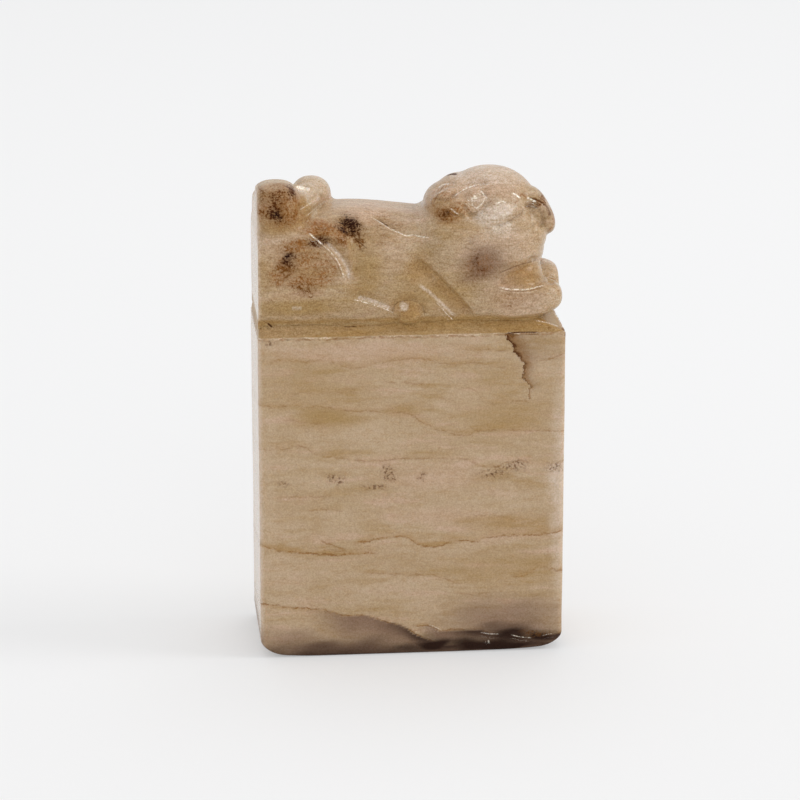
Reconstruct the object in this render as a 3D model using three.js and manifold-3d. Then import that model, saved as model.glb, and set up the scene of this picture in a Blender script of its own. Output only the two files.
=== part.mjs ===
// A carved stone seal: a flat-sided block with a sloping ledge round its top, and a beast lying on it.
// The beast faces +X, its right side is towards -Y, and the block stands on its printing face at z = 0.
// The stone is cut in one piece. Each carved form is a mesh of its own here, split along the carver's lines.
// Lengths are in millimetres.
import * as THREE from 'three';
import { mergeVertices } from 'three/addons/utils/BufferGeometryUtils.js';
import Module from 'manifold-3d';

const wasm = await Module();
wasm.setup();

// The block
const blockWidth = 28;
const blockDepth = 12.6;
const blockHeight = 30.4; // up to the start of the ledge
const footInset = 0.12; // how much each side comes in towards the foot
const cornerRadius = 0.9; // upright edges
const footRadius = 0.95; // rounded edge round the printing face, along the sides
const footLength = 1.65; // the same rounding measured along the block, at its two ends
const ledgeHeight = 1.2;
const ledgeInset = 0.95; // run of the ledge's slope along the sides
const ledgeRear = 0.3; // the same at the rump, where the stone goes up almost straight
const ledgeFront = 2.5; // the same under the forepaws, which stand out over it

// The printing face: a raised border and two raised square spirals
const faceThickness = 2.0;
const reliefDepth = 0.5;
const borderWidth = 1.0;
const lineWidth = 0.75; // raised lines, and the gaps between them
const centreBar = 0.8;

// Carver's clearances
const kerf = 0.1; // between one carved form and the next
const flush = 0.05; // the beast's sides stay this far inside the block's sides

// Places that follow from the sizes above
const sideX = blockWidth / 2;
const sideY = blockDepth / 2;
const ledgeTop = blockHeight + ledgeHeight;
const rump = -sideX + flush;
const front = sideX - flush;
const flank = sideY - flush;
const length = front - rump;

// The beast's forms: half sizes along its length, its breadth and its height. What lies along the beast is a
// share of its length, and what lies across it is a share of the flank, so that both follow the block.
// Rises are from the ledge to the middle of a form.
const bodyHalf = { long: 0.44 * length, broad: flank, high: 10.1 };
const bodyFromRump = 0.444 * length;
const backHeight = 9.35; // from the ledge to the top of the back
const backSlope = 6.5; // degrees, falling towards the head
const haunchHalf = { long: 0.183 * length, broad: 0.6 * flank, high: 5.3 };
const haunchFromRump = 0.154 * length;
const haunchRise = 3.5;
const shoulderHalf = { long: 0.222 * length, broad: 0.51 * flank, high: 5.4 };
const shoulderFromFront = 0.281 * length;
const shoulderRise = 1.8;
const sideOverrun = 0.35; // legs and feet would stand this far past the side before it is cut flat
const seat = 0.45; // how deep the feet would sink into the ledge before they are cut flat
const chestHalf = { long: 0.165 * length, broad: flank, high: 3.5 };
const chestFromFront = 0.213 * length;
const chestRise = 6.3;
const chestSlope = -6; // degrees, rising towards the front
const hindFootHalf = { long: 0.118 * length, broad: 0.24 * flank, high: 1.35 };
const hindToesHalf = { long: 0.052 * length, broad: 0.24 * flank, high: 1.35 };
const hindToesFromRump = 0.489 * length;
const forepawHalf = { long: 0.145 * length, broad: 0.4 * flank, high: 1.75 };
const forepawSlope = -5; // degrees, its toes lifted
const skullHalf = { long: 0.186 * length, broad: 0.81 * flank, high: 3.9 };
const skullFromFront = 0.249 * length;
const skullRise = 9.15;
const skullOffset = 0.06 * flank; // towards the right side, where the beast looks
const neckHalf = { long: 0.165 * length, broad: flank, high: 3.3 };
const neckDrop = 2.35; // below the middle of the skull
const neckBack = 0.086 * length; // behind the middle of the skull
const tailRootHalf = { long: 0.086 * length, broad: 0.94 * flank, high: 2.8 };
const tailRootFromRump = 0.075 * length;
const tailRootSink = 0.5; // how far its middle lies below the top of the haunches
const rightCurlHalf = { long: 0.081 * length, broad: 0.5 * flank, high: 2.15 };
const rightCurlFromRump = 0.066 * length;
const leftCurlHalf = { long: 0.065 * length, broad: 0.42 * flank, high: 1.6 };
const leftCurlFromRump = 0.195 * length;
const curlSink = 0.5; // how deep each curl sits in the haunch below it

// The face, on the surface of the skull.
const eyeHalf = { long: 1.3, broad: 0.9, high: 1.0 };
const browHalf = { long: 2.0, broad: 0.9, high: 0.45 };
const muzzleHalf = { long: 2.0, broad: 1.3, high: 1.3 };
const jawHalf = { long: 2.4, broad: 1.9, high: 1.4 };
const earHalf = { long: 1.35, broad: 1.9, high: 2.1 };
const featureSink = 0.5; // how deep the middle of each feature lies under the skull
const earSink = 0.35;
// Directions in degrees, turned from the right side towards the front and raised from the level. The spreads
// are from the middle of the face, and by the tilt the right half of the face is higher and the left one lower.
const faceAngles = {
  turn: 15, tilt: 7, eyeTurn: 32, eyeAngle: 26, browAngle: 44,
  muzzleAngle: 3, jawAngle: -27, earTurn: 62, earAngle: 12,
};

const fine = 16; // facets round a large form
const coarse = 10; // facets round a small one

const group = new THREE.Group();
const degrees = THREE.MathUtils.degToRad;

const stoneLight = new THREE.MeshStandardMaterial({ color: 0xb99a7c, roughness: 0.35, metalness: 0 });
const stoneDark = new THREE.MeshStandardMaterial({ color: 0x8a6544, roughness: 0.4, metalness: 0 });

function toSolid(geometry) {
  const bare = geometry.index ? geometry.toNonIndexed() : geometry.clone();
  bare.deleteAttribute('normal');
  bare.deleteAttribute('uv');
  const merged = mergeVertices(bare, 1e-5);
  return new wasm.Manifold(new wasm.Mesh({
    numProp: 3,
    vertProperties: merged.attributes.position.array,
    triVerts: new Uint32Array(merged.index.array),
  }));
}

function toGeometry(solid) {
  const mesh = solid.getMesh();
  const geometry = new THREE.BufferGeometry();
  geometry.setAttribute('position', new THREE.BufferAttribute(new Float32Array(mesh.vertProperties), 3));
  geometry.setIndex(new THREE.BufferAttribute(mesh.triVerts, 1));
  const flat = geometry.toNonIndexed();
  flat.computeVertexNormals();
  return flat;
}

// A cut can leave loose slivers; the carver keeps the form itself.
function largestBody(solid) {
  return solid.decompose().reduce((best, body) => (body.volume() > best.volume() ? body : best));
}

function addNode(name, solid, material) {
  const mesh = new THREE.Mesh(toGeometry(largestBody(solid)), material);
  mesh.name = name;
  group.add(mesh);
}

function roundedRectangle(width, depth, radius) {
  const w = width / 2;
  const d = depth / 2;
  const shape = new THREE.Shape();
  shape.moveTo(-w + radius, -d);
  shape.lineTo(w - radius, -d);
  shape.absarc(w - radius, -d + radius, radius, -Math.PI / 2, 0);
  shape.lineTo(w, d - radius);
  shape.absarc(w - radius, d - radius, radius, 0, Math.PI / 2);
  shape.lineTo(-w + radius, d);
  shape.absarc(-w + radius, d - radius, radius, Math.PI / 2, Math.PI);
  shape.lineTo(-w, -d + radius);
  shape.absarc(-w + radius, -d + radius, radius, Math.PI, 1.5 * Math.PI);
  return shape;
}

// A slab whose outline comes in with height, with z running over the given levels. inset(z) says how far it
// has come in along the sides, at the rear and at the front.
function draftedSlab(levels, inset) {
  const outline = roundedRectangle(blockWidth, blockDepth, cornerRadius);
  const bottom = levels[0];
  const height = levels.at(-1) - bottom;
  const geometry = new THREE.ExtrudeGeometry(outline, {
    depth: height, steps: levels.length - 1, bevelEnabled: false, curveSegments: 3,
  });
  const place = geometry.attributes.position;
  for (let i = 0; i < place.count; i++) {
    const step = Math.round((place.getZ(i) / height) * (levels.length - 1));
    const z = levels[step];
    const { sides, rear, front: ahead } = inset(z);
    const end = place.getX(i) > 0 ? ahead : rear;
    place.setXYZ(i, place.getX(i) * (1 - end / sideX), place.getY(i) * (1 - sides / sideY), z);
  }
  return toSolid(geometry);
}

function bar(x0, y0, x1, y1, z0, z1) {
  const geometry = new THREE.BoxGeometry(x1 - x0, y1 - y0, z1 - z0);
  geometry.translate((x0 + x1) / 2, (y0 + y1) / 2, (z0 + z1) / 2);
  return toSolid(geometry);
}

// A rounded stone form. A power over 2 makes it fuller towards its corners.
function pebble({ at, half, power = 2, turn = 0, yaw = 0, facets = fine }, grow = 0) {
  const geometry = new THREE.SphereGeometry(1, facets, Math.round(facets * 0.6));
  const place = geometry.attributes.position;
  const n = new THREE.Vector3();
  for (let i = 0; i < place.count; i++) {
    n.fromBufferAttribute(place, i);
    const sum = Math.abs(n.x) ** power + Math.abs(n.y) ** power + Math.abs(n.z) ** power;
    n.multiplyScalar(sum ** (-1 / power));
    place.setXYZ(i, n.x, n.y, n.z);
  }
  geometry.scale(half.long + grow, half.broad + grow, half.high + grow);
  geometry.rotateY(degrees(turn));
  geometry.rotateZ(degrees(yaw));
  geometry.translate(at[0], at[1], at[2]);
  return toSolid(geometry);
}

// The rounded foot and the straight sides share one inset rule.
function sideInset(z) {
  const draft = footInset * Math.max(0, 1 - z / blockHeight);
  const foot = Math.max(0, footRadius - z);
  const rounding = footRadius - Math.sqrt(footRadius ** 2 - foot ** 2);
  const ends = draft + (rounding * footLength) / footRadius;
  return { sides: draft + rounding, rear: ends, front: ends };
}

function ledgeSlope(z) {
  const share = (z - blockHeight) / ledgeHeight;
  return { sides: share * ledgeInset, rear: share * ledgeRear, front: share * ledgeFront };
}

function addBlock() {
  const arc = [0, 0.08, 0.3, 0.62, 1].map((share) => share * footRadius);
  let face = draftedSlab([...arc, faceThickness], sideInset);
  const innerX = sideX - sideInset(0).front - borderWidth;
  const innerY = sideY - sideInset(0).sides - borderWidth;
  const below = -1;
  face = face.subtract(bar(-innerX, -innerY, innerX, innerY, below, reliefDepth));
  for (const line of reliefLines(innerX, innerY)) face = face.add(line);
  addNode('printing_face', face, stoneDark);
  addNode('seal_block', draftedSlab([faceThickness, blockHeight], sideInset), stoneLight);
  addNode('sloping_ledge', draftedSlab([blockHeight, ledgeTop], ledgeSlope), stoneDark);
}

// A bar down the middle and a square spiral on each side of it, all standing reliefDepth proud of the field.
function reliefLines(innerX, innerY) {
  const lines = [bar(-centreBar / 2, -innerY, centreBar / 2, innerY, 0, reliefDepth)];
  const clear = 1.5 * lineWidth; // from a wall of the field to the middle of the first line
  const half = lineWidth / 2;
  for (const side of [-1, 1]) {
    const path = spiralPath(centreBar / 2 + clear, -innerY + clear, innerX - clear, innerY - clear);
    for (let i = 1; i < path.length; i++) {
      const xs = [side * path[i - 1][0], side * path[i][0]];
      const ys = [path[i - 1][1], path[i][1]];
      const low = [Math.min(...xs) - half, Math.min(...ys) - half];
      const high = [Math.max(...xs) + half, Math.max(...ys) + half];
      lines.push(bar(low[0], low[1], high[0], high[1], 0, reliefDepth));
    }
  }
  return lines;
}

// The corners of a square spiral that winds inwards, two line widths at a time.
function spiralPath(x0, y0, x1, y1) {
  const pitch = 2 * lineWidth;
  const path = [[x0, y1]];
  let turn = 0;
  while (x1 - x0 > (2 * turn + 1) * pitch && y1 - y0 > (2 * turn + 1) * pitch) {
    const d = turn * pitch;
    path.push([x1 - d, y1 - d], [x1 - d, y0 + d], [x0 + d, y0 + d], [x0 + d, y1 - d - pitch]);
    turn += 1;
  }
  return path;
}

// Both sides of the beast carry the same form: right is towards -Y, left towards +Y.
function pair(name, form) {
  return [['right', -1], ['left', 1]].map(([word, side]) => ({
    ...form,
    name: `${word}_${name}`,
    at: [form.at[0], side * form.at[1], form.at[2]],
  }));
}

// The two features of a pair on the face. The face looks out over the beast's right side, so its right half
// lies towards the rump and its left half towards the front.
function facePair(name, skull, half, spread, rise, sink, facets) {
  return [['right', -1], ['left', 1]].map(([word, side]) => (
    onSkull(
      `${word}_${name}`, skull, half, faceAngles.turn + side * spread, rise - side * faceAngles.tilt, sink, facets,
    )
  ));
}

// A feature that sits on the surface of the skull in the given direction and is turned to face that way.
function onSkull(name, skull, half, turnDegrees, riseDegrees, sink, facets = fine) {
  const turn = degrees(turnDegrees);
  const rise = degrees(riseDegrees);
  const reach = 1 - sink / skull.half.broad;
  const out = [Math.cos(rise) * Math.sin(turn), -Math.cos(rise) * Math.cos(turn), Math.sin(rise)];
  const at = [
    skull.at[0] + reach * skull.half.long * out[0],
    skull.at[1] + reach * skull.half.broad * out[1],
    skull.at[2] + reach * skull.half.high * out[2],
  ];
  return { name, at, half, yaw: turnDegrees, facets };
}

// The forms in the order in which they are cut free: each is trimmed by those before it.
function beastForms() {
  const skull = {
    name: 'skull', half: skullHalf, at: [front - skullFromFront, -skullOffset, ledgeTop + skullRise],
  };
  const inside = (half) => flank - half.broad;
  const onSide = (half) => inside(half) + sideOverrun;
  const onLedge = (half) => ledgeTop + half.high - seat;
  const haunchX = rump + haunchFromRump;
  const haunchZ = ledgeTop + haunchRise;
  const haunchTop = haunchZ + haunchHalf.high;
  const toesX = rump + hindToesFromRump;
  const footX = (haunchX + toesX) / 2 + hindToesHalf.long / 2;
  const curlZ = (half) => haunchTop + half.high - curlSink;
  const { turn, eyeTurn, eyeAngle, browAngle, earTurn, earAngle, muzzleAngle, jawAngle } = faceAngles;
  return [
    ...facePair('eye', skull, eyeHalf, eyeTurn, eyeAngle, featureSink, coarse),
    ...facePair('brow', skull, browHalf, eyeTurn, browAngle, featureSink, coarse),
    ...facePair('ear', skull, earHalf, earTurn, earAngle, earSink, coarse),
    onSkull('muzzle', skull, muzzleHalf, turn, muzzleAngle, featureSink),
    onSkull('lower_jaw', skull, jawHalf, turn, jawAngle, featureSink),
    skull,
    {
      name: 'right_tail_curl', half: rightCurlHalf, power: 2.5,
      at: [rump + rightCurlFromRump, -inside(rightCurlHalf), curlZ(rightCurlHalf)],
    },
    {
      name: 'left_tail_curl', half: leftCurlHalf, power: 2.2,
      at: [rump + leftCurlFromRump, leftCurlHalf.broad, curlZ(leftCurlHalf)],
    },
    ...pair('forepaw', {
      at: [front - forepawHalf.long, onSide(forepawHalf), onLedge(forepawHalf)],
      half: forepawHalf, power: 2.5, turn: forepawSlope,
    }),
    ...pair('hind_toes', {
      at: [toesX, onSide(hindToesHalf), onLedge(hindToesHalf)], half: hindToesHalf, power: 2.6, facets: coarse,
    }),
    ...pair('hind_foot', {
      at: [footX, onSide(hindFootHalf), onLedge(hindFootHalf)], half: hindFootHalf, power: 2.6,
    }),
    {
      name: 'tail_root', half: tailRootHalf, power: 2.6,
      at: [rump + tailRootFromRump, 0, haunchTop - tailRootSink],
    },
    {
      name: 'chest', at: [front - chestFromFront, 0, ledgeTop + chestRise], half: chestHalf, power: 2.6,
      turn: chestSlope,
    },
    {
      name: 'neck', at: [skull.at[0] - neckBack, 0, skull.at[2] - neckDrop], half: neckHalf, power: 2.5,
    },
    ...pair('haunch', {
      at: [haunchX, onSide(haunchHalf), haunchZ], half: haunchHalf, power: 3.4,
    }),
    ...pair('shoulder', {
      at: [front - shoulderFromFront, onSide(shoulderHalf), ledgeTop + shoulderRise],
      half: shoulderHalf, power: 2.6,
    }),
    {
      name: 'body', at: [rump + bodyFromRump, 0, ledgeTop + backHeight - bodyHalf.high], half: bodyHalf,
      power: 3.2, turn: backSlope,
    },
  ];
}

function addBeast() {
  const tall = 20;
  const blank = bar(rump, -flank, front, flank, ledgeTop, ledgeTop + tall);
  const before = [];
  for (const form of beastForms()) {
    let solid = pebble(form).intersect(blank);
    for (const other of before) solid = solid.subtract(other);
    before.push(pebble(form, kerf));
    addNode(form.name, solid, stoneLight);
  }
}

addBlock();
addBeast();

export default group;
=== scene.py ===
import bpy
import math
import numpy as np
from mathutils import Matrix, Vector


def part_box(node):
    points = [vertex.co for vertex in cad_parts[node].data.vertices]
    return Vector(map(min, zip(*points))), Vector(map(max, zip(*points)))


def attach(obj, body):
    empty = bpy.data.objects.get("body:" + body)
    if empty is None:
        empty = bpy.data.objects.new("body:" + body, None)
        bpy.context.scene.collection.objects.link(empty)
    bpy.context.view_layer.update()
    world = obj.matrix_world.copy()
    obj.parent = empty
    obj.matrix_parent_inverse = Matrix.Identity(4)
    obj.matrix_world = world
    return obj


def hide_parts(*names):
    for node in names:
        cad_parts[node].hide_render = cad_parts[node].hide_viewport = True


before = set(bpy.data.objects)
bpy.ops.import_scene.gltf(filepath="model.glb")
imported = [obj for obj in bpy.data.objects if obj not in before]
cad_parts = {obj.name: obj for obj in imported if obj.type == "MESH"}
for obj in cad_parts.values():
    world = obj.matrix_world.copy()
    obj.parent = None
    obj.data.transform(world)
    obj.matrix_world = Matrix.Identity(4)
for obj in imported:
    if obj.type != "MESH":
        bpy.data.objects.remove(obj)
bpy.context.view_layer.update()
scene = bpy.context.scene
mm = 0.001


def nodeBox(name):
    low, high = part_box(name)
    return np.array(low) / mm, np.array(high) / mm


sideX, sideY, _ = nodeBox("seal_block")[1]
blockTop, ledgeTop = (corner[2] for corner in nodeBox("sloping_ledge"))


# Mesh helpers

def ringFaces(count, around, offset=0):
    # count rings of around points each, and one pole before the first ring and one after the last
    row = np.arange(count - 1)[:, None] * around
    here = np.arange(around)[None, :]
    after = (here + 1) % around
    first = offset + 1
    quads = np.stack([row + here, row + after, row + around + after, row + around + here], -1)
    quads = quads.reshape(-1, 4) + first
    last = first + (count - 1) * around
    startFan = np.stack([np.full(around, offset), first + after[0], first + here[0]], -1)
    endFan = np.stack([np.full(around, last + around), last + here[0], last + after[0]], -1)
    return quads.tolist() + startFan.tolist() + endFan.tolist()


def closedForm(rings, startPole, endPole):
    # the points of all rings between two poles, with the number of rings and of points in each
    points = np.vstack([np.asarray(startPole)[None], rings.reshape(-1, 3), np.asarray(endPole)[None]])
    return points, rings.shape[0], rings.shape[1]


def turned(points, turn):
    # a turn about Y in degrees
    return points @ np.array(Matrix.Rotation(math.radians(turn), 3, "Y")).T


def pebble(at, half, power=2.2, turn=0.0, rows=28, around=44):
    # half sizes times cos(a)^e cos(b)^e, cos(a)^e sin(b)^e and sin(a)^e: a up, b around, e = 2 / power
    e = 2.0 / power
    a = np.linspace(-math.pi / 2, math.pi / 2, rows + 2)[1:-1][:, None]
    b = np.linspace(0, 2 * math.pi, around, endpoint=False)[None, :]
    bend = lambda v: np.sign(v) * np.abs(v) ** e
    x = bend(np.cos(a)) * bend(np.cos(b))
    y = bend(np.cos(a)) * bend(np.sin(b))
    z = bend(np.sin(a)) * np.ones_like(b)
    points, count, around = closedForm(np.stack([x, y, z], -1) * half, (0, 0, -half[2]), (0, 0, half[2]))
    return turned(points, turn) + at, count, around


def smoothPath(points, count):
    # Catmull-Rom through the points, with the first and last repeated
    p = np.asarray(points, float)
    p = np.vstack([2 * p[0] - p[1], p, 2 * p[-1] - p[-2]])
    t = np.linspace(0, len(points) - 1 - 1e-9, count)
    i = t.astype(int)
    f = (t - i)[:, None]
    a, b, c, d = p[i], p[i + 1], p[i + 2], p[i + 3]
    second = 2 * a - 5 * b + 4 * c - d
    third = 3 * b - a - 3 * c + d
    return 0.5 * (2 * b + (c - a) * f + second * f**2 + third * f**3)


def limb(path, radii, count=40, around=32):
    # rings on a smooth path, whose radius follows the given ones and closes at both ends as (1 - s^6)^0.5
    s = np.linspace(-1, 1, count + 2)[1:-1]
    line = smoothPath([list(p) + [r] for p, r in zip(path, radii)], count)
    centre = line[:, :3]
    radius = line[:, 3] * np.sqrt(1 - s**6)
    along = np.gradient(centre, axis=0)
    along /= np.linalg.norm(along, axis=1)[:, None]
    side = np.cross(along, [0.0, 0.0, 1.0])
    side[np.linalg.norm(side, axis=1) < 0.05] = [0, 1, 0]
    side /= np.linalg.norm(side, axis=1)[:, None]
    up = np.cross(side, along)
    b = np.linspace(0, 2 * math.pi, around, endpoint=False)[None, :, None]
    circle = np.cos(b) * side[:, None] + np.sin(b) * up[:, None]
    rings = centre[:, None] + radius[:, None, None] * circle
    return closedForm(rings, centre[0], centre[-1])


def joined(forms):
    points = []
    faces = []
    offset = 0
    for p, count, around in forms:
        points.append(p)
        faces += ringFaces(count, around, offset)
        offset += len(p)
    return np.vstack(points), faces


def meshFrom(name, points, faces):
    mesh = bpy.data.meshes.new(name)
    mesh.from_pydata(np.asarray(points, float).tolist(), [], faces)
    mesh.validate()
    mesh.update()
    return mesh


def pieceFrom(name, mesh):
    piece = bpy.data.objects.new(name, mesh)
    scene.collection.objects.link(piece)
    return piece


def vertexValues(mesh, name):
    flat = np.empty(len(mesh.vertices) * 3, np.float32)
    mesh.vertices.foreach_get(name, flat)
    return flat.reshape(-1, 3).astype(float)


def pointsOf(mesh):
    return vertexValues(mesh, "co")


def normalsOf(mesh):
    return vertexValues(mesh, "normal")


def putValues(mesh, name, values):
    # a value at every point of the mesh, which the shader reads by its name
    layer = mesh.attributes.new(name, "FLOAT", "POINT")
    layer.data.foreach_set("value", values.astype(np.float32))


def putPoints(mesh, points):
    mesh.vertices.foreach_set("co", np.asarray(points, np.float32).ravel())
    mesh.update()


def settled(piece):
    # the modifiers' result becomes the mesh
    bpy.context.view_layer.update()
    graph = bpy.context.evaluated_depsgraph_get()
    result = bpy.data.meshes.new_from_object(piece.evaluated_get(graph))
    piece.modifiers.clear()
    piece.data = result
    return result


def fused(piece, voxel, rounds):
    # one skin over all the forms, then its creases rounded off
    remesh = piece.modifiers.new("skin", "REMESH")
    remesh.mode = "VOXEL"
    remesh.voxel_size = voxel
    remesh.use_smooth_shade = True
    smooth = piece.modifiers.new("polish", "SMOOTH")
    smooth.factor = 0.5
    smooth.iterations = rounds
    return settled(piece)


def flushed(values, limit, soft):
    # runs straight up to limit - soft, then closes in on limit and never passes it
    over = np.abs(values) - (limit - soft)
    pressed = limit - soft * np.exp(-np.maximum(over, 0) / soft)
    return np.where(over > 0, np.sign(values) * pressed, values)


# Node helpers

def addNode(tree, kind, inputs=None, **settings):
    node = tree.nodes.new(kind)
    for key, value in settings.items():
        setattr(node, key, value)
    for key, value in (inputs or {}).items():
        if isinstance(value, bpy.types.NodeSocket):
            tree.links.new(value, node.inputs[key])
        else:
            node.inputs[key].default_value = value
    return node


def fedNode(kind, inputs, **settings):
    # a node in the tree that its linked inputs come from
    tree = next(value.id_data for value in inputs.values() if isinstance(value, bpy.types.NodeSocket))
    return addNode(tree, kind, inputs, **settings)


def maths(operation, *values, clamp=False):
    return fedNode("ShaderNodeMath", dict(enumerate(values)), operation=operation, use_clamp=clamp).outputs[0]


def plus(first, second):
    return maths("ADD", first, second)


def times(*factors):
    result = factors[0]
    for factor in factors[1:]:
        result = maths("MULTIPLY", result, factor)
    return result


def scaled(value, factor, more, clamp=False):
    return maths("MULTIPLY_ADD", value, factor, more, clamp=clamp)


def most(first, second):
    return maths("MAXIMUM", first, second)


def centred(value):
    return maths("SUBTRACT", value, 0.5)


def ranged(value, low, high, toLow=0.0, toHigh=1.0):
    # a smooth step from toLow at low to toHigh at high
    inputs = {0: value, 1: low, 2: high, 3: toLow, 4: toHigh}
    return fedNode("ShaderNodeMapRange", inputs, interpolation_type="SMOOTHSTEP", clamp=True).outputs[0]


def stretched(place, factors):
    return fedNode("ShaderNodeVectorMath", {0: place, 1: factors}, operation="MULTIPLY").outputs[0]


def noise(place, scale, detail, roughness, stretch=None):
    if stretch:
        place = stretched(place, stretch)
    inputs = {"Vector": place, "Scale": scale, "Detail": detail, "Roughness": roughness}
    return fedNode("ShaderNodeTexNoise", inputs).outputs[0]


def mixed(mask, first, second, blend="MIX"):
    inputs = {0: mask, 6: first, 7: second}
    return fedNode("ShaderNodeMix", inputs, data_type="RGBA", blend_type=blend).outputs[2]


def newGroup(name, inputs, output):
    group = bpy.data.node_groups.new(name, "ShaderNodeTree")
    for label in inputs:
        group.interface.new_socket(label, in_out="INPUT", socket_type="NodeSocketFloat")
    group.interface.new_socket(output, in_out="OUTPUT", socket_type="NodeSocketFloat")
    return group, group.nodes.new("NodeGroupInput").outputs, group.nodes.new("NodeGroupOutput").inputs


def passed(group, *values):
    # the group's result for these values of its inputs
    return fedNode("ShaderNodeGroup", dict(enumerate(values)), node_tree=group).outputs[0]


# Camera and light

# Places and sizes in millimetres
view = {
    "turn": 5.227,  # degrees that the camera stands to the left of square on
    "rise": 15.861,  # and degrees that it looks down
    "distance": 340.0,
    "aim": (-0.57, 0.0, 22.631),
    "lens": 165.53,
    "sensor": 36.0,
}

light = {
    "worldLevel": 0.79,
    "top": {"at": (40, 190, 420), "size": 260, "power": 0.18},
    "right": {"at": (1120, -160, 800), "size": 578, "power": 4.62},
    "front": {"at": (60, -520, 330), "size": 200, "power": 0.19},
    "aim": (0, 0, 25),
    "ground": (0.86, 0.862, 0.868),
    "groundHalf": 4000,  # half the ground's width
    "paper": (0.98, 0.982, 0.986),
    "paperShare": 0.36,
}


def placeCamera():
    turn = math.radians(view["turn"])
    rise = math.radians(view["rise"])
    back = Vector((-math.sin(turn) * math.cos(rise), -math.cos(turn) * math.cos(rise), math.sin(rise)))
    data = bpy.data.cameras.new("camera")
    data.lens = view["lens"]
    data.sensor_width = view["sensor"]
    data.clip_start = 0.01
    data.clip_end = 20
    camera = bpy.data.objects.new("camera", data)
    camera.location = (Vector(view["aim"]) + back * view["distance"]) * mm
    camera.rotation_euler = back.to_track_quat("Z", "Y").to_euler()
    scene.collection.objects.link(camera)
    scene.camera = camera


def placeLamp(name, values):
    data = bpy.data.lights.new(name, "AREA")
    data.shape = "DISK"
    data.size = values["size"] * mm
    data.energy = values["power"]
    lamp = bpy.data.objects.new(name, data)
    lamp.location = Vector(values["at"]) * mm
    back = lamp.location - Vector(light["aim"]) * mm
    lamp.rotation_euler = back.to_track_quat("Z", "Y").to_euler()
    scene.collection.objects.link(lamp)


def placeGround():
    half = light["groundHalf"] * mm
    corners = [(-half, -half, 0), (half, -half, 0), (half, half, 0), (-half, half, 0)]
    mesh = meshFrom("ground", corners, [(0, 1, 2, 3)])
    ground = pieceFrom("ground", mesh)
    material = bpy.data.materials.new("ground")
    material.use_nodes = True
    tree = material.node_tree
    shader = tree.nodes["Principled BSDF"]
    shader.inputs["Base Color"].default_value = (*light["ground"], 1)
    shader.inputs["Roughness"].default_value = 0.9
    shader.inputs["Specular IOR Level"].default_value = 0.1
    # the camera and reflections see it partly as plain pale paper, which softens the object's shadow
    ray = addNode(tree, "ShaderNodeLightPath").outputs
    share = times(most(ray["Is Camera Ray"], ray["Is Glossy Ray"]), light["paperShare"])
    paper = addNode(tree, "ShaderNodeEmission", {"Color": (*light["paper"], 1)}).outputs[0]
    both = fedNode("ShaderNodeMixShader", {0: share, 1: shader.outputs[0], 2: paper}).outputs[0]
    tree.links.new(both, tree.nodes["Material Output"].inputs["Surface"])
    mesh.materials.append(material)


def lightWorld():
    world = bpy.data.worlds.new("studio")
    world.use_nodes = True
    background = world.node_tree.nodes["Background"]
    background.inputs["Color"].default_value = (1, 1, 1, 1)
    background.inputs["Strength"].default_value = light["worldLevel"]
    scene.world = world


placeCamera()
lightWorld()
for lampName in ("top", "right", "front"):
    placeLamp(lampName, light[lampName])
placeGround()
scene.view_settings.view_transform = "Standard"
print("camera, lamps and ground are placed")


# The block

block = {
    "corner": 0.55,  # radius of the upright edges
    "edge": 0.1,  # radius of the edge between side and ledge
    "taper": 0.02,  # how much the sides come in towards the foot
    "foot": 0.4,  # radius round the printing face
    "footLength": 1.9,  # how much further the foot is rounded at both ends of the block
    "footRise": 1.6,  # and how high up
    "footWear": 0.12,  # how far the foot is worn up towards its front corner
    "endWear": 0.36,  # and towards both ends
    "rimWear": 0.1,  # depth of the dents along the rim under the ledge
    "ledgeInset": 0.95,  # run of the ledge's slope along the sides
    "ledgeRear": 0.25,  # at the rear end
    "ledgeFront": 2.5,  # and at the front end
    "border": 1.6,  # raised border of the printing face
    "wallLean": 0.08,  # how much its inner wall leans
    "relief": 0.5,  # depth of the sunk field
    "grid": 0.196,  # largest step between points on the sides
    "wave": 0.035,  # how far the sides stray from flat
    "waveFrom": 1.2,  # and from what height
    "wearTo": 3,  # height up to which the foot is worn
    "chips": [  # x, y, z, reach and depth
        (9.0, -6.3, 30.45, 0.45, 0.16),
        (13.4, -6.3, 1.2, 0.5, 0.12),
        (10.6, -6.3, 1.45, 0.6, 0.09),
        (-9.6, -6.3, 30.45, 0.35, 0.1),
        (-13.3, -6.2, 30.9, 0.4, 0.16),
        (2.6, -6.3, 30.45, 0.25, 0.07),
        (6.1, -6.3, 30.45, 0.22, 0.06),
        (-5.0, 6.3, 30.45, 0.5, 0.15),
        (8.0, 6.3, 0.8, 0.6, 0.16),
    ],
}


def blockOutline(corner, step):
    # points round a rectangle: straight runs with quarter circles between them
    runX = 2 * (sideX - corner)
    runY = 2 * (sideY - corner)
    countX = int(runX / step)
    countY = int(runY / step)
    countArc = 8
    x = []
    y = []
    turns = [(1, -1, 0), (1, 1, 90), (-1, 1, 180), (-1, -1, 270)]
    for (signX, signY, heading), (run, count) in zip(turns, 2 * [(runX, countX), (runY, countY)]):
        direction = math.radians(heading)
        cx = signX * (sideX - corner)
        cy = signY * (sideY - corner)
        t = np.linspace(-run, 0, count, endpoint=False)
        x.append(cx + math.sin(direction) * corner + math.cos(direction) * t)
        y.append(cy - math.cos(direction) * corner + math.sin(direction) * t)
        a = direction - math.pi / 2 + np.linspace(0, math.pi / 2, countArc, endpoint=False)
        x.append(cx + corner * np.cos(a))
        y.append(cy + corner * np.sin(a))
    return np.stack([np.concatenate(x), np.concatenate(y)], -1)


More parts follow.
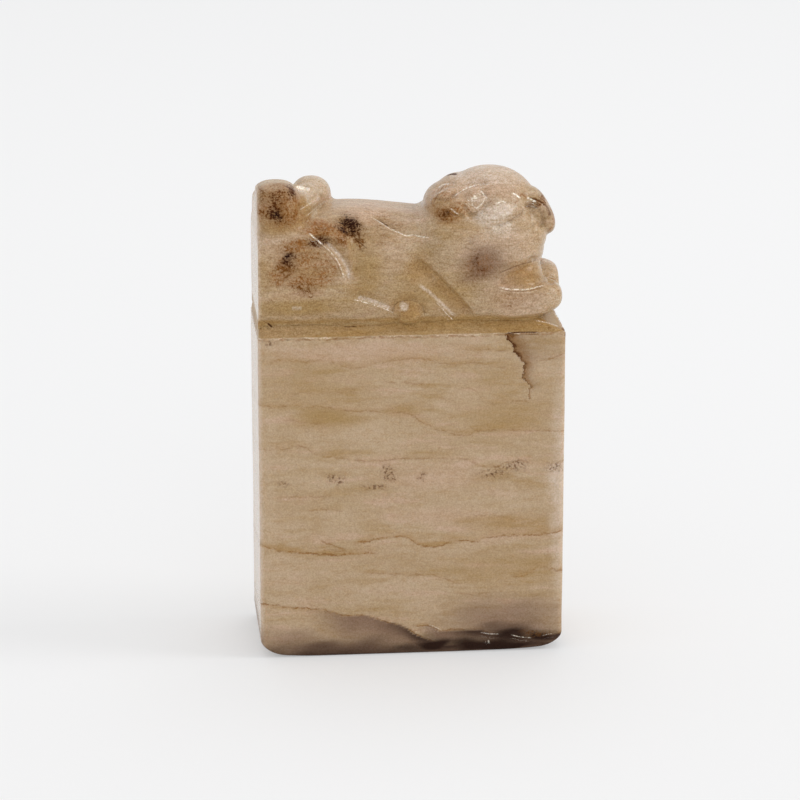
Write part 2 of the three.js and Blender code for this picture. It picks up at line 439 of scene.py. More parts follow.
def blockProfile():
    # from the middle of the sunk field over the border, round the foot, up the side and over the ledge to
    # the middle of the top; each row is the inset from the sides, the front and the rear, and the height
    foot = block["foot"]
    edge = block["edge"]
    inset = block["ledgeInset"]
    draft = block["taper"]
    reach = foot + draft
    longer = block["footLength"]
    wall = reach + block["border"]
    lean = block["wallLean"]
    rows = []

    def add(away, extra, height):
        rows.append((away, away + extra, away + extra, height))

    for share in np.linspace(0.06, 1, 22, endpoint=False):
        add(sideY - (sideY - wall) * share, longer, block["relief"])
    for share in np.linspace(0, 1, 6):
        add(wall - lean * share, longer, block["relief"] * (1 - share))
    for share in np.linspace(0.2, 1, 6, endpoint=False):
        add(wall - lean - (block["border"] - lean) * share, longer, 0.0)
    rise = block["footRise"]
    for a in np.linspace(0, math.pi / 2, 20):
        height = rise * (1 - math.cos(a))
        away = foot * (1 - math.sqrt(1 - max(0.0, 1 - height / foot) ** 2))
        add(draft + away, (foot + longer) * (1 - math.sin(a)) - away, height)
    sideRows = int((blockTop - rise) / block["grid"])
    for share in np.linspace(0, 1, sideRows + 1)[1:-1]:
        add(draft * (1 - share), 0.0, rise + (blockTop - edge - rise) * share)
    for share in np.linspace(0, 1, 5):
        a = share * math.atan2(ledgeTop - blockTop, inset)
        add(edge * (1 - math.cos(math.pi / 2 * share)) * 0.6, 0.0, blockTop - edge * (1 - math.sin(a + 0.2)))
    runs = (inset, block["ledgeFront"], block["ledgeRear"])
    first = 0.6 * edge
    for share in np.linspace(0.08, 1, 12):
        height = blockTop + (ledgeTop - blockTop) * share
        rows.append((*(first + (run - first) * share for run in runs), height))
    for share in np.linspace(0.06, 0.94, 14):
        rows.append((*(run + (sideY - inset) * share for run in runs), ledgeTop))
    return np.array(rows)


def strayed(points, amount):
    # slow sines across each side, so that light doesn't lie dead flat on it
    x, y, z = points.T
    wave = np.sin(0.31 * x + 0.13 * z + 0.4) * np.sin(0.23 * z + 1.1) + 0.5 * np.sin(0.9 * x - 0.42 * z)
    wave += 0.35 * np.sin(0.8 * y + 0.55 * z + 2.0)
    return amount * wave / 1.85


def chipped(points, normals, chips):
    # each chip presses the surface in by depth times (1 - r^2)^2 inside its reach, with a broken outline
    for *middle, reach, depth in chips:
        x, y, z = points.T
        rough = 1 + 0.35 * np.sin(9 * x + 3 * z) * np.sin(11 * z - 5 * y)
        r = np.linalg.norm(points - middle, axis=1) / (reach * rough)
        points = points - normals * (depth * np.maximum(1 - r**2, 0) ** 2)[:, None]
    return points


def worn(points, normals):
    # dents along the rim: slow and quick sines that are cut off below, so that stretches of it stay sharp
    x, y, z = points.T
    run = x + 1.7 * y
    dent = 0.5 * np.sin(1.7 * run + 0.6) + 0.45 * np.sin(4.3 * run + 1.0)
    dent += 0.35 * np.sin(9.1 * run) + 0.2 * np.sin(16.0 * run)
    outer = (np.abs(y) > sideY - 0.4) | (np.abs(x) > sideX - 0.4)
    band = np.exp(-(((z - blockTop + 0.02) / 0.2) ** 2)) * outer
    return points - normals * (block["rimWear"] * np.clip(dent, 0, 1) * band)[:, None]


def makeBlock():
    outline = blockOutline(block["corner"], block["grid"])
    profile = blockProfile()
    sides, front, rear = (profile[:, i][:, None] for i in range(3))
    ahead = outline[None, :, 0] > 0
    rings = np.empty((len(profile), len(outline), 3))
    rings[:, :, 0] = outline[None, :, 0] * (sideX - np.where(ahead, front, rear)) / sideX
    rings[:, :, 1] = outline[None, :, 1] * (sideY - sides) / sideY
    rings[:, :, 2] = profile[:, 3][:, None]
    points, count, around = closedForm(rings, (0, 0, block["relief"]), (0, 0, ledgeTop))
    mesh = meshFrom("block", points, ringFaces(count, around))
    piece = pieceFrom("jadeBlock", mesh)
    points = pointsOf(mesh)
    normals = normalsOf(mesh)
    # the waves fade out towards the foot and the ledge, and the wear of the foot fades out upwards
    z = points[:, 2]
    level = np.clip((z - block["waveFrom"]) / 2, 0, 1) * np.clip((ledgeTop - 0.4 - z) / 0.5, 0, 1)
    points = points - normals * (np.abs(strayed(points, block["wave"])) * level)[:, None]
    x, y, z = points.T
    # the foot is worn away towards its front right corner, and towards both ends
    lift = block["footWear"] * np.clip((x - 2) / 11, 0, 1) ** 1.5 * np.clip((3 - y) / 8, 0, 1)
    lift += block["endWear"] * np.clip((np.abs(x) - 8.5) / 5.5, 0, 1) ** 2
    points[:, 2] += lift * np.clip(1 - z / block["wearTo"], 0, 1) ** 2
    points = worn(chipped(points, normals, block["chips"]), normals)
    putPoints(mesh, points * mm)
    mesh.shade_smooth()
    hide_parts("seal_block", "sloping_ledge", "printing_face")
    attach(piece, "root")
    return piece


blockPiece = makeBlock()
print("block is cut:", len(blockPiece.data.vertices), "points")


# The printing face's raised lines

faceLines = {
    "width": 0.75,  # of a line, and of the gap between two lines
    "bar": 0.8,  # width of the bar down the middle
    "rounded": 0.07,  # their worn edges
    "rooted": 0.06,  # how far they reach into the block
}


def spiralPath(x0, y0, x1, y1, pitch):
    # corners of a square spiral that winds inwards
    path = [(x0, y1)]
    turn = 0
    while x1 - x0 > (2 * turn + 1) * pitch and y1 - y0 > (2 * turn + 1) * pitch:
        d = turn * pitch
        path += [(x1 - d, y1 - d), (x1 - d, y0 + d), (x0 + d, y0 + d), (x0 + d, y1 - d - pitch)]
        turn += 1
    return path


def ribbon(path, width, high):
    # a bar whose lower edges are rounded, from 0 up to high, along straight runs with mitred corners
    p = np.array(path, float)
    run = np.diff(p, axis=0)
    run /= np.linalg.norm(run, axis=1)[:, None]
    across = np.stack([-run[:, 1], run[:, 0]], -1)
    before = np.vstack([across[:1], across])
    after = np.vstack([across, across[-1:]])
    mitre = (before + after) / (1 + (before * after).sum(1))[:, None]
    r = faceLines["rounded"]
    half = width / 2
    oneSide = [(half, high), (half, r), (half - r / 3, r / 3), (half - r, 0)]
    section = np.array(oneSide + [(-x, z) for x, z in reversed(oneSide)])
    rings = np.empty((len(p), len(section), 3))
    rings[:, :, :2] = p[:, None] + mitre[:, None] * section[None, :, :1]
    rings[:, :, 2] = section[None, :, 1]
    return closedForm(rings, (*p[0], high / 2), (*p[-1], high / 2))


def makeLines():
    width = faceLines["width"]
    high = block["relief"] + faceLines["rooted"]
    border = block["foot"] + block["taper"] + block["border"]
    innerX = sideX - border - block["footLength"]
    innerY = sideY - border
    forms = [ribbon([(0, -innerY - 0.05), (0, innerY + 0.05)], faceLines["bar"], high)]
    clear = 1.5 * width
    start = faceLines["bar"] / 2 + clear
    path = np.array(spiralPath(start, clear - innerY, innerX - clear, innerY - clear, 2 * width))
    for side in (-1, 1):
        forms.append(ribbon(path * (side, 1), width, high))
    points, faces = joined(forms)
    piece = pieceFrom("faceLines", meshFrom("faceLines", points * mm, faces))
    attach(piece, "root")
    return piece


linesPiece = makeLines()


# The beast

beast = {
    "firstVoxel": 0.2,  # grid of the skin over the large forms, and how often it is smoothed
    "firstRounds": 6,
    "voxel": 0.1355,  # the same once the small forms are on it
    "rounds": 2,
    "sink": 0.5,  # how far its underside lies inside the block
    "sideGap": 0.04,
    "pressed": 0.16,  # how softly its sides run into the flat of the block's sides
    "footInset": 0.8,  # how far the sides lean in at the ledge
    "footRise": 1.9,  # height over which they do
    "cutDepth": 1.0,  # multiplies every wheel-cut line
    "sightPlane": 6.2,  # how far from the middle the plane lies on which lines and marks are placed
}


def pebblePair(at, half, **more):
    # right is towards -Y and left towards +Y
    return [pebble((at[0], side * at[1], at[2]), half, **more) for side in (-1, 1)]


def limbPair(path, radii):
    return [limb([(x, side * y, z) for x, y, z in path], radii) for side in (-1, 1)]


def bigForms():
    fine = {"rows": 60, "around": 110}
    return [
        pebble((-1.6, 0, 30.95), (12.3, 6.3, 10.1), power=3.2, turn=7.0, **fine),  # trunk
        pebble((-9.8, 0, 34.5), (5.2, 7.5, 6.4), power=4.0, **fine),  # rump
        *pebblePair((-9.7, 3.0, 35.3), (4.3, 3.9, 5.3), power=2.7, **fine),  # haunches
        pebble((-11.9, 0.2, 40.1), (2.4, 5.9, 2.8), power=2.6),  # root of the tail
        pebble((-12.1, -3.2, 42.1), (2.25, 3.1, 2.15), power=2.6),  # right curl of the tail
        pebble((-8.5, 2.3, 41.8), (1.8, 2.6, 1.6)),  # left curl of the tail
        pebble((-10.2, -0.6, 42.0), (1.2, 1.6, 1.3)),  # saddle between the curls
        pebble((-11.7, -3.3, 40.6), (2.3, 2.9, 1.6), power=2.6),  # filling below the right curl
        pebble((-10.3, -2.8, 41.7), (1.5, 2.4, 1.5)),  # and in front of it
        *pebblePair((6.1, 2.6, 33.4), (6.3, 4.3, 5.4), power=2.6, **fine),  # shoulders
        pebble((8.0, -0.2, 37.9), (4.5, 6.2, 3.4), power=2.6, turn=-6),  # chest, over the forelegs
        pebble((4.6, -0.2, 38.4), (4.6, 6.2, 3.3), power=2.5, turn=-4),  # neck
        pebble((7.6, -0.4, 40.75), (4.4, 5.1, 3.9), power=2.05),  # skull
        pebble((4.3, -0.8, 41.2), (2.85, 4.6, 2.2), power=2.1),  # side of the head behind the eye
        pebble((5.3, -0.4, 42.1), (2.6, 4.0, 1.85)),  # back of the head
        pebble((8.2, -3.2, 40.0), (3.3, 2.7, 2.1)),  # cheeks
        pebble((10.1, -2.0, 38.9), (2.5, 3.5, 2.1), power=2.3),  # jaw
    ]


def smallForms():
    curl = [(-11.2, -3.7, 40.2), (-10.1, -2.6, 41.0), (-9.2, -0.4, 41.9), (-8.7, 2.2, 42.0)]
    brow = [(9.0, -3.5, 43.0), (10.0, -3.2, 42.7), (11.2, -2.8, 42.3)]
    hindFoot = [(-7.2, 4.3, 33.2), (-4.6, 4.6, 33.1), (-2.0, 4.6, 32.5)]
    forepaw = {"power": 2.6, "turn": -5, "rows": 40, "around": 70}
    return [
        limb(curl, [1.2, 1.3, 1.3, 1.1]),  # band that joins the two curls
        pebble((11.85, -1.7, 40.8), (1.15, 2.5, 2.35), power=2.3, turn=-28),  # left ear
        pebble((3.2, -3.3, 42.55), (1.4, 1.1, 0.6), turn=-24),  # right ear
        pebble((7.8, -4.9, 41.0), (1.8, 0.75, 0.95), power=2.1, turn=-18),  # muzzle
        pebble((8.25, -4.4, 42.0), (0.8, 0.55, 0.5), power=2.0, turn=-10),  # bridge of the nose
        pebble((5.85, -3.8, 42.55), (1.2, 0.8, 0.95), power=2.0, turn=-12),  # right eye
        pebble((10.1, -3.2, 41.9), (0.8, 0.8, 0.7), power=2.0, turn=15),  # left eye
        limb(brow, [0.25, 0.36, 0.3]),  # left brow
        *pebblePair((9.9, 4.0, 33.2), (3.95, 2.5, 1.75), **forepaw),
        pebble((11.85, 0.6, 33.3), (2.65, 3.0, 2.3), power=2.5),  # toes of the left forepaw
        pebble((10.9, 0.0, 32.2), (2.75, 4.6, 1.1), power=2.6),  # pad under both forepaws
        *limbPair(hindFoot, [1.6, 1.45, 1.1]),
        *pebblePair((-0.3, 4.95, 32.55), (1.35, 1.4, 1.3), power=2.3),  # hind toes
    ]


def sighted(points, side):
    # carries each point along the line of sight onto the plane of that side, and gives its x and z there
    eye = np.array(scene.camera.location) / mm
    p = points * np.array([1, -side, 1])
    reach = (-beast["sightPlane"] - p[:, 1]) / (eye[1] - p[:, 1])
    return (p + (eye - p) * reach[:, None])[:, [0, 2]]


def strokeField(plane, path):
    # distance to the path, the side of the path that the point is on, and how far along the path it is
    line = smoothPath(path, 26)
    best = np.full(len(plane), 1e9)
    side = np.zeros(len(plane))
    along = np.zeros(len(plane))
    for i in range(len(line) - 1):
        a = line[i]
        run = line[i + 1] - a
        t = np.clip(((plane - a) @ run) / (run @ run), 0, 1)
        away = plane - a - t[:, None] * run
        d = np.linalg.norm(away, axis=1)
        closer = d < best
        best = np.where(closer, d, best)
        side = np.where(closer, np.sign(run[0] * away[:, 1] - run[1] * away[:, 0]), side)
        along = np.where(closer, (i + t) / (len(line) - 1), along)
    return best, side, along


# Wheel-cut lines as seen on the right side: a path of x and z, its widths to the left and right of the run,
# its depth, how much of the ochre of thin stone shows in it and, where one side is cut steep, which: 1 left,
# -1 right. The first list is cut on both sides of the beast.
bodyCuts = [
    ([(-9.34, 40.02), (-8.34, 39.53), (-7.35, 38.88), (-6.45, 38.04), (-5.91, 37.15), (-5.71, 36.26),
      (-5.86, 35.17)], 0.9, 0.32, 0.5, 0.6),
    ([(-6.65, 41.51), (-6.01, 40.67), (-5.41, 39.82), (-4.76, 39.03)], 0.3, 0.14, 0.2, 0.2),
    ([(0.02, 37.79), (1.41, 36.56), (3.2, 34.67), (4.5, 33.19), (5.59, 31.8)], 0.3, 1.1, 0.5, 1.0, 1),
    ([(7.69, 35.07), (8.48, 35.07), (9.48, 35.17), (10.67, 35.37), (12.27, 35.57)], 0.6, 0.28, 0.3, 0.5),
    ([(8.28, 35.57), (9.18, 35.96), (10.08, 36.46), (10.87, 36.96), (11.77, 37.45)], 0.4, 0.5, 0.3, 0.6),
    ([(-5.26, 34.32), (-3.97, 34.08), (-2.87, 33.63), (-1.78, 33.09)], 0.35, 0.3, 0.3, 0.2, -1),
    ([(-1.78, 32.29), (-1.76, 32.94), (-1.38, 33.53), (-0.38, 33.78), (0.56, 33.53), (1.01, 32.89),
      (1.11, 32.1)], 0.5, 0.16, 0.28, 0.5, -1),
]
rightCuts = [
    ([(-3.57, 41.41), (-2.62, 40.91), (-1.38, 40.22), (-0.28, 39.83), (1.61, 39.53)], 0.3, 0.12, 0.24, 0.0),
    ([(-14.21, 40.41), (-12.92, 40.42), (-11.63, 40.51), (-10.43, 40.91), (-9.44, 41.51)],
     0.5, 0.5, 0.15, 0.5),
    ([(-8.44, 43.69), (-9.24, 43.04), (-10.23, 42.3)], 0.14, 0.2, 0.16, 0.0),
    ([(-7.55, 43.19), (-8.44, 42.45), (-9.64, 41.7)], 0.14, 0.2, 0.16, 0.0),
    ([(-10.73, 44.38), (-10.03, 44.33), (-9.34, 44.28)], 0.3, 0.12, 0.4, 0.0),
    ([(3.4, 42.9), (4.1, 43.64), (4.89, 44.09), (5.89, 44.39), (6.89, 44.39)], 0.4, 0.16, 0.34, 0.0),
    ([(4.4, 42.65), (4.9, 42.01), (5.34, 41.51), (6.04, 41.71), (6.49, 42.31), (6.74, 43.0)],
     0.18, 0.35, 0.34, 0.2),
    ([(5.99, 43.74), (6.39, 43.25)], 0.12, 0.14, 0.2, 0.0),
    ([(6.29, 43.74), (6.71, 43.2)], 0.12, 0.14, 0.2, 0.0),
    ([(6.49, 43.35), (6.79, 42.85)], 0.1, 0.14, 0.12, 0.0),
    ([(4.8, 42.5), (5.14, 42.16)], 0.1, 0.12, 0.1, 0.0),
    ([(5.09, 42.6), (5.54, 42.21)], 0.1, 0.12, 0.1, 0.0),
    ([(2.7, 41.91), (3.3, 41.51), (4.1, 41.36), (4.8, 41.31)], 0.5, 0.25, 0.4, 0.5),
    ([(1.81, 42.9), (2.6, 42.85), (3.4, 43.1), (4.0, 43.49)], 0.2, 0.3, 0.2, 0.0),
    ([(1.91, 43.69), (2.41, 44.24), (3.1, 44.53), (3.9, 44.39)], 0.35, 0.12, 0.16, 0.0),
    ([(7.09, 40.13), (8.18, 40.52), (9.08, 41.02), (9.68, 41.42), (10.07, 42.01)], 0.3, 0.16, 0.3, 0.1),
    ([(10.07, 42.21), (10.67, 42.21), (11.27, 41.91)], 0.2, 0.2, 0.3, 0.2),
    ([(11.27, 42.01), (11.67, 41.42), (11.82, 40.72), (11.77, 40.13)], 0.15, 0.35, 0.3, 0.2),
    ([(10.42, 41.81), (10.72, 41.22), (10.87, 40.52), (10.77, 39.83)], 0.14, 0.3, 0.18, 0.0),
    ([(5.09, 38.74), (5.69, 39.43), (6.39, 39.88)], 0.3, 0.3, 0.14, 0.1),
    ([(4.2, 38.04), (4.8, 38.54), (5.39, 39.13)], 0.3, 0.3, 0.12, 0.1),
]
# Round drill marks on the right side: x, z, radius, depth and ochre
pits = [
    (12.57, 35.27, 0.42, 0.16, 1.0),
    (10.82, 37.15, 0.45, 0.14, 0.8),
    (2.85, 41.66, 0.5, 0.2, 0.3),
]


def cutLine(points, normals, cutMarks, values, side):
    # presses the surface in by depth times exp(-(d / width)^k), less at both ends; k is 1.6, or 4 where steep
    path, left, right, depth, ochre, steep = (*values, 0)[:6]
    d, hand, along = strokeField(sighted(points, side), path)
    width = np.where(hand > 0, left, right)
    power = np.where((hand * steep) > 0, 4.0, 1.6)
    facing = np.clip((side * normals[:, 1] + 0.25 * normals[:, 2] - 0.05) / 0.3, 0, 1)
    facing *= side * points[:, 1] > -1
    ends = np.clip(np.minimum(along, 1 - along) / 0.14, 0.1, 1)
    mark = np.exp(-((d / width) ** power)) * facing * ends
    cutMarks[:] = np.maximum(cutMarks, mark * ochre)
    return points - normals * (beast["cutDepth"] * depth * mark)[:, None]


def drill(points, normals, cutMarks, values, side):
    x, z, radius, depth, ochre = values
    plane = sighted(points, side)
    r = np.hypot(plane[:, 0] - x, plane[:, 1] - z) / radius
    mark = np.clip(1 - r**3, 0, 1) * (side * normals[:, 1] > 0)
    cutMarks[:] = np.maximum(cutMarks, mark * ochre)
    return points - normals * (depth * mark)[:, None]


def trimmed(points, footInset):
    # the sides stay inside the block's sides, and lean in by footInset where they come down to the ledge
    lean = footInset * np.clip((ledgeTop + beast["footRise"] - points[:, 2]) / beast["footRise"], 0, 1) ** 1.5
    points[:, 1] = flushed(points[:, 1], sideY - beast["sideGap"] - lean, beast["pressed"])
    points[:, 0] = flushed(points[:, 0], sideX - beast["sideGap"], beast["pressed"])
    points[:, 2] = np.maximum(points[:, 2], ledgeTop - beast["sink"])
    return points


def makeBeast():
    points, faces = joined(bigForms())
    piece = pieceFrom("jadeBeast", meshFrom("beastRough", points, faces))
    mesh = fused(piece, beast["firstVoxel"], beast["firstRounds"])
    rough = trimmed(pointsOf(mesh), beast["footInset"])
    roughFaces = [list(polygon.vertices) for polygon in mesh.polygons]
    extra, extraFaces = joined(smallForms())
    shifted = [[index + len(rough) for index in face] for face in extraFaces]
    piece.data = meshFrom("beastForms", np.vstack([rough, extra]), roughFaces + shifted)
    mesh = fused(piece, beast["voxel"], beast["rounds"])
    points = trimmed(pointsOf(mesh), 0)
    putPoints(mesh, points)
    normals = normalsOf(mesh)
    cutMarks = np.zeros(len(points))
    for values in bodyCuts:
        for side in (-1, 1):
            points = cutLine(points, normals, cutMarks, values, side)
    for values in rightCuts:
        points = cutLine(points, normals, cutMarks, values, -1)
    for values in pits:
        points = drill(points, normals, cutMarks, values, -1)
    putPoints(mesh, points * mm)
    putValues(mesh, "hollow", cutMarks)
    mesh.shade_smooth()
    names = [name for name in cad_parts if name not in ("seal_block", "sloping_ledge", "printing_face")]
    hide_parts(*names)
    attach(piece, "root")
    return piece


beastPiece = makeBeast()
print("beast is carved:", len(beastPiece.data.vertices), "points", len(beastPiece.data.polygons), "faces")


# The stone, all of it worked out from the place inside it in millimetres

stone = {
    "lift": (1.12, 1.12, 1.11),  # what a shown colour is multiplied by to get the colour of the stone
    "sheen": 0.005,  # what the polish adds to every shown colour
    "roughness": 0.17,
    "frosted": 0.5,
    "shine": 0.05,
    "coat": 0.42,  # how much of the clear polish lies over unstained stone
    "grain": 0.42,  # how strongly the fine grain shows in the colour
    "carved": 1.9,  # how much more of it the carved top has
    "deeper": 0.04,  # and how much darker its stone is
    "fibre": 0.52,  # wavy threads in the carved top
    "flecks": 0.2,  # and the flecks about half a millimetre across
    "wander": 0.16,  # how far the edges of the stains stray
    "wanderSize": 2.2,  # over what length
    "wanderAlong": 0.4,  # and how much more slowly along the stone
    "relief": 0.00002,  # depth of grain and pits in metres
    "veinWidth": 0.12,
    "threads": 0.22,  # how strongly the faint threads along the stone show
    "rearReflection": 0.5,  # how much the painted reflection lightens the rear end
    "rearGloss": 38.6,  # height up to which its rims are polished
    "specks": 0.7,
    "rimDark": 0.55,  # the dark line under the ledge's rim
    "rimChalkAndGlint": 0.75,  # and the pale one on it, partly painted highlight and partly pale chips
    "translucency": 0.22,
    "depth": 0.0008,  # how far light wanders inside the stone, in metres
    "lean": 0.16,  # how much each vein drops for every millimetre further back
    "bend": 0.9,  # how far noise carries a vein from its path
}

# The stone's colours as the photographed object shows them, from 0 to 255
shown = {
    "tan": (175, 150, 119),
    "fair": (182, 158, 130),
    "pale": (186, 163, 136),
    "blush": (190, 161, 138),
    "olive": (161, 131, 86),
    "ochre": (160, 123, 72),
    "milk": (210, 193, 177),
    "smoke": (132, 107, 89),
    "dusk": (48, 34, 29),
    "rust": (138, 92, 50),
    "brown": (108, 68, 30),
    "dark": (74, 40, 14),
    "black": (44, 20, 5),
    "line": (134, 95, 54),
    "chalkAndGlint": (222, 203, 180),
    "glint": (250, 240, 225),
}
# Soft stains, the first five of them pale, and then the mottled ones
washes = ("blush", "pale", "olive", "ochre", "milk", "smoke", "dusk")
paleWashes = 5
mottles = ("rust", "brown", "dark", "black")

# Veins: points of x and z on the right side, reach of the ochre beside it, its side (1 up, -1 down) and how
# strongly it shows. Each is a sheet through the stone that leans with y.
veins = [
    ([(-12.92, 28.38), (-10.93, 28.38), (-9.74, 28.2), (-7.85, 28.3), (-5.96, 27.66), (-4.56, 27.63),
      (-2.77, 28.03), (-0.38, 28.26), (0.71, 28.29), (3.2, 27.65), (4.7, 27.73), (5.89, 27.83),
      (7.39, 27.37), (9.88, 27.04)], 1.0, 1, 0.42),
    ([(5.1, 28.96), (6.49, 28.95), (7.59, 28.85), (8.98, 28.87)], 0.3, 1, 0.45),
    ([(10.98, 27.88), (11.77, 27.81), (12.67, 27.99), (13.87, 28.46)], 0.3, 1, 0.6),
    ([(-11.33, 25.23), (-9.34, 25.33), (-7.45, 25.23), (-4.76, 25.26)], 0.6, 1, 0.3),
    ([(-6.66, 25.8), (-5.16, 25.67), (-3.77, 25.58)], 0.4, -1, 0.3),
    ([(-2.87, 26.45), (-2.17, 26.19), (-0.38, 26.05), (1.01, 25.91), (2.61, 25.57)], 0.4, -1, 0.4),
    ([(-13.92, 24.21), (-12.33, 23.98), (-10.94, 24.15), (-8.65, 23.98), (-6.16, 23.57), (-4.47, 23.42),
      (-1.18, 23.24), (-0.28, 23.07), (1.01, 22.19), (3.0, 21.29), (5.0, 20.94), (5.99, 21.3), (9.38, 21.31),
      (13.77, 21.1)], 0.9, 1, 0.48),
    ([(-12.33, 22.89), (-10.94, 22.75), (-9.05, 22.38), (-7.65, 22.48)], 0.5, 1, 0.35),
    ([(-13.72, 20.09), (-11.93, 20.0), (-11.14, 20.3), (-10.04, 20.24), (-8.65, 19.4), (-6.76, 19.16),
      (-4.27, 18.71), (-0.28, 18.86), (3.6, 18.76), (4.8, 18.61), (7.09, 17.81), (9.58, 18.39),
      (11.68, 17.95), (13.77, 18.15)], 1.0, 1, 0.48),
    ([(1.41, 24.91), (2.41, 24.58), (4.0, 24.24)], 0.3, -1, 0.35),
    ([(3.6, 25.44), (5.1, 25.32), (5.89, 24.99), (6.49, 23.98), (6.99, 23.82), (8.09, 23.89), (9.28, 23.86)],
     0.7, 1, 0.25),
    ([(7.99, 24.34), (8.88, 24.17), (10.68, 23.92), (11.08, 23.61)], 0.4, 1, 0.55),
    ([(-9.84, 14.16), (-8.35, 14.19), (-6.06, 14.12)], 0.5, 1, 0.45),
    ([(-12.83, 15.5), (-10.54, 15.46), (-7.06, 15.45)], 0.5, 1, 0.35),
    ([(-13.93, 10.94), (-13.13, 10.65), (-11.24, 10.22), (-8.45, 9.93), (-7.06, 9.81), (-5.06, 9.88),
      (-3.17, 9.88)], 0.7, 1, 1.0),
    ([(-5.56, 10.79), (-3.37, 11.2), (-1.08, 11.38), (-0.28, 11.17), (0.61, 10.57), (1.61, 10.35),
      (3.11, 10.64), (4.3, 10.87), (5.9, 10.72), (7.09, 11.16), (10.38, 11.22), (11.48, 11.19),
      (13.77, 11.52)], 0.9, 1, 0.9),
    ([(-9.25, 11.27), (-8.45, 11.19), (-6.96, 10.62), (-5.76, 10.01)], 0.2, -1, 0.6),
    ([(-4.77, 7.96), (-3.47, 7.98), (-2.08, 7.83), (-0.28, 7.76), (1.81, 7.55), (3.21, 7.14), (4.7, 6.62)],
     0.4, 1, 0.5),
    ([(3.51, 6.12), (4.1, 5.83), (5.6, 5.63), (7.49, 5.73)], 0.4, 1, 0.5),
    ([(6.4, 6.19), (7.39, 6.22), (8.69, 6.18)], 0.3, 1, 0.4),
    ([(8.69, 7.24), (10.18, 7.25), (10.88, 7.55), (11.48, 8.01), (12.28, 8.03), (13.67, 7.67)], 0.7, 1, 0.65),
    ([(5.4, 13.32), (6.89, 13.2), (9.09, 12.88), (9.88, 12.24)], 0.5, -1, 0.35),
    ([(-13.63, 5.27), (-12.43, 5.07), (-10.54, 4.8), (-7.85, 4.5), (-6.46, 3.99), (-4.37, 3.91),
      (-2.77, 3.33), (-0.98, 2.79), (0.42, 1.83), (2.91, 0.79)], 0.5, -1, 1.0),
    ([(-0.18, 2.77), (1.71, 2.65), (2.61, 2.14), (3.9, 2.21), (6.1, 2.19), (7.29, 1.78), (8.59, 1.74),
      (9.99, 1.31), (11.68, 1.26), (13.58, 1.57)], 0.4, 1, 0.9),
]

# Veins below which the stone turns dark: number in the list above, reach, colour, strength, and the x from
# which it starts and at which it is full
shades = [
    (-2, 4.6, "smoke", 1.0, -10.5, -5.0),
    (-2, 1.5, "dusk", 0.8, -4.5, 0.8),
    (-1, 2.6, "smoke", 1.0, 0.0, 2.5),
    (-1, 2.0, "dusk", 0.8, 2.0, 6.0),
]
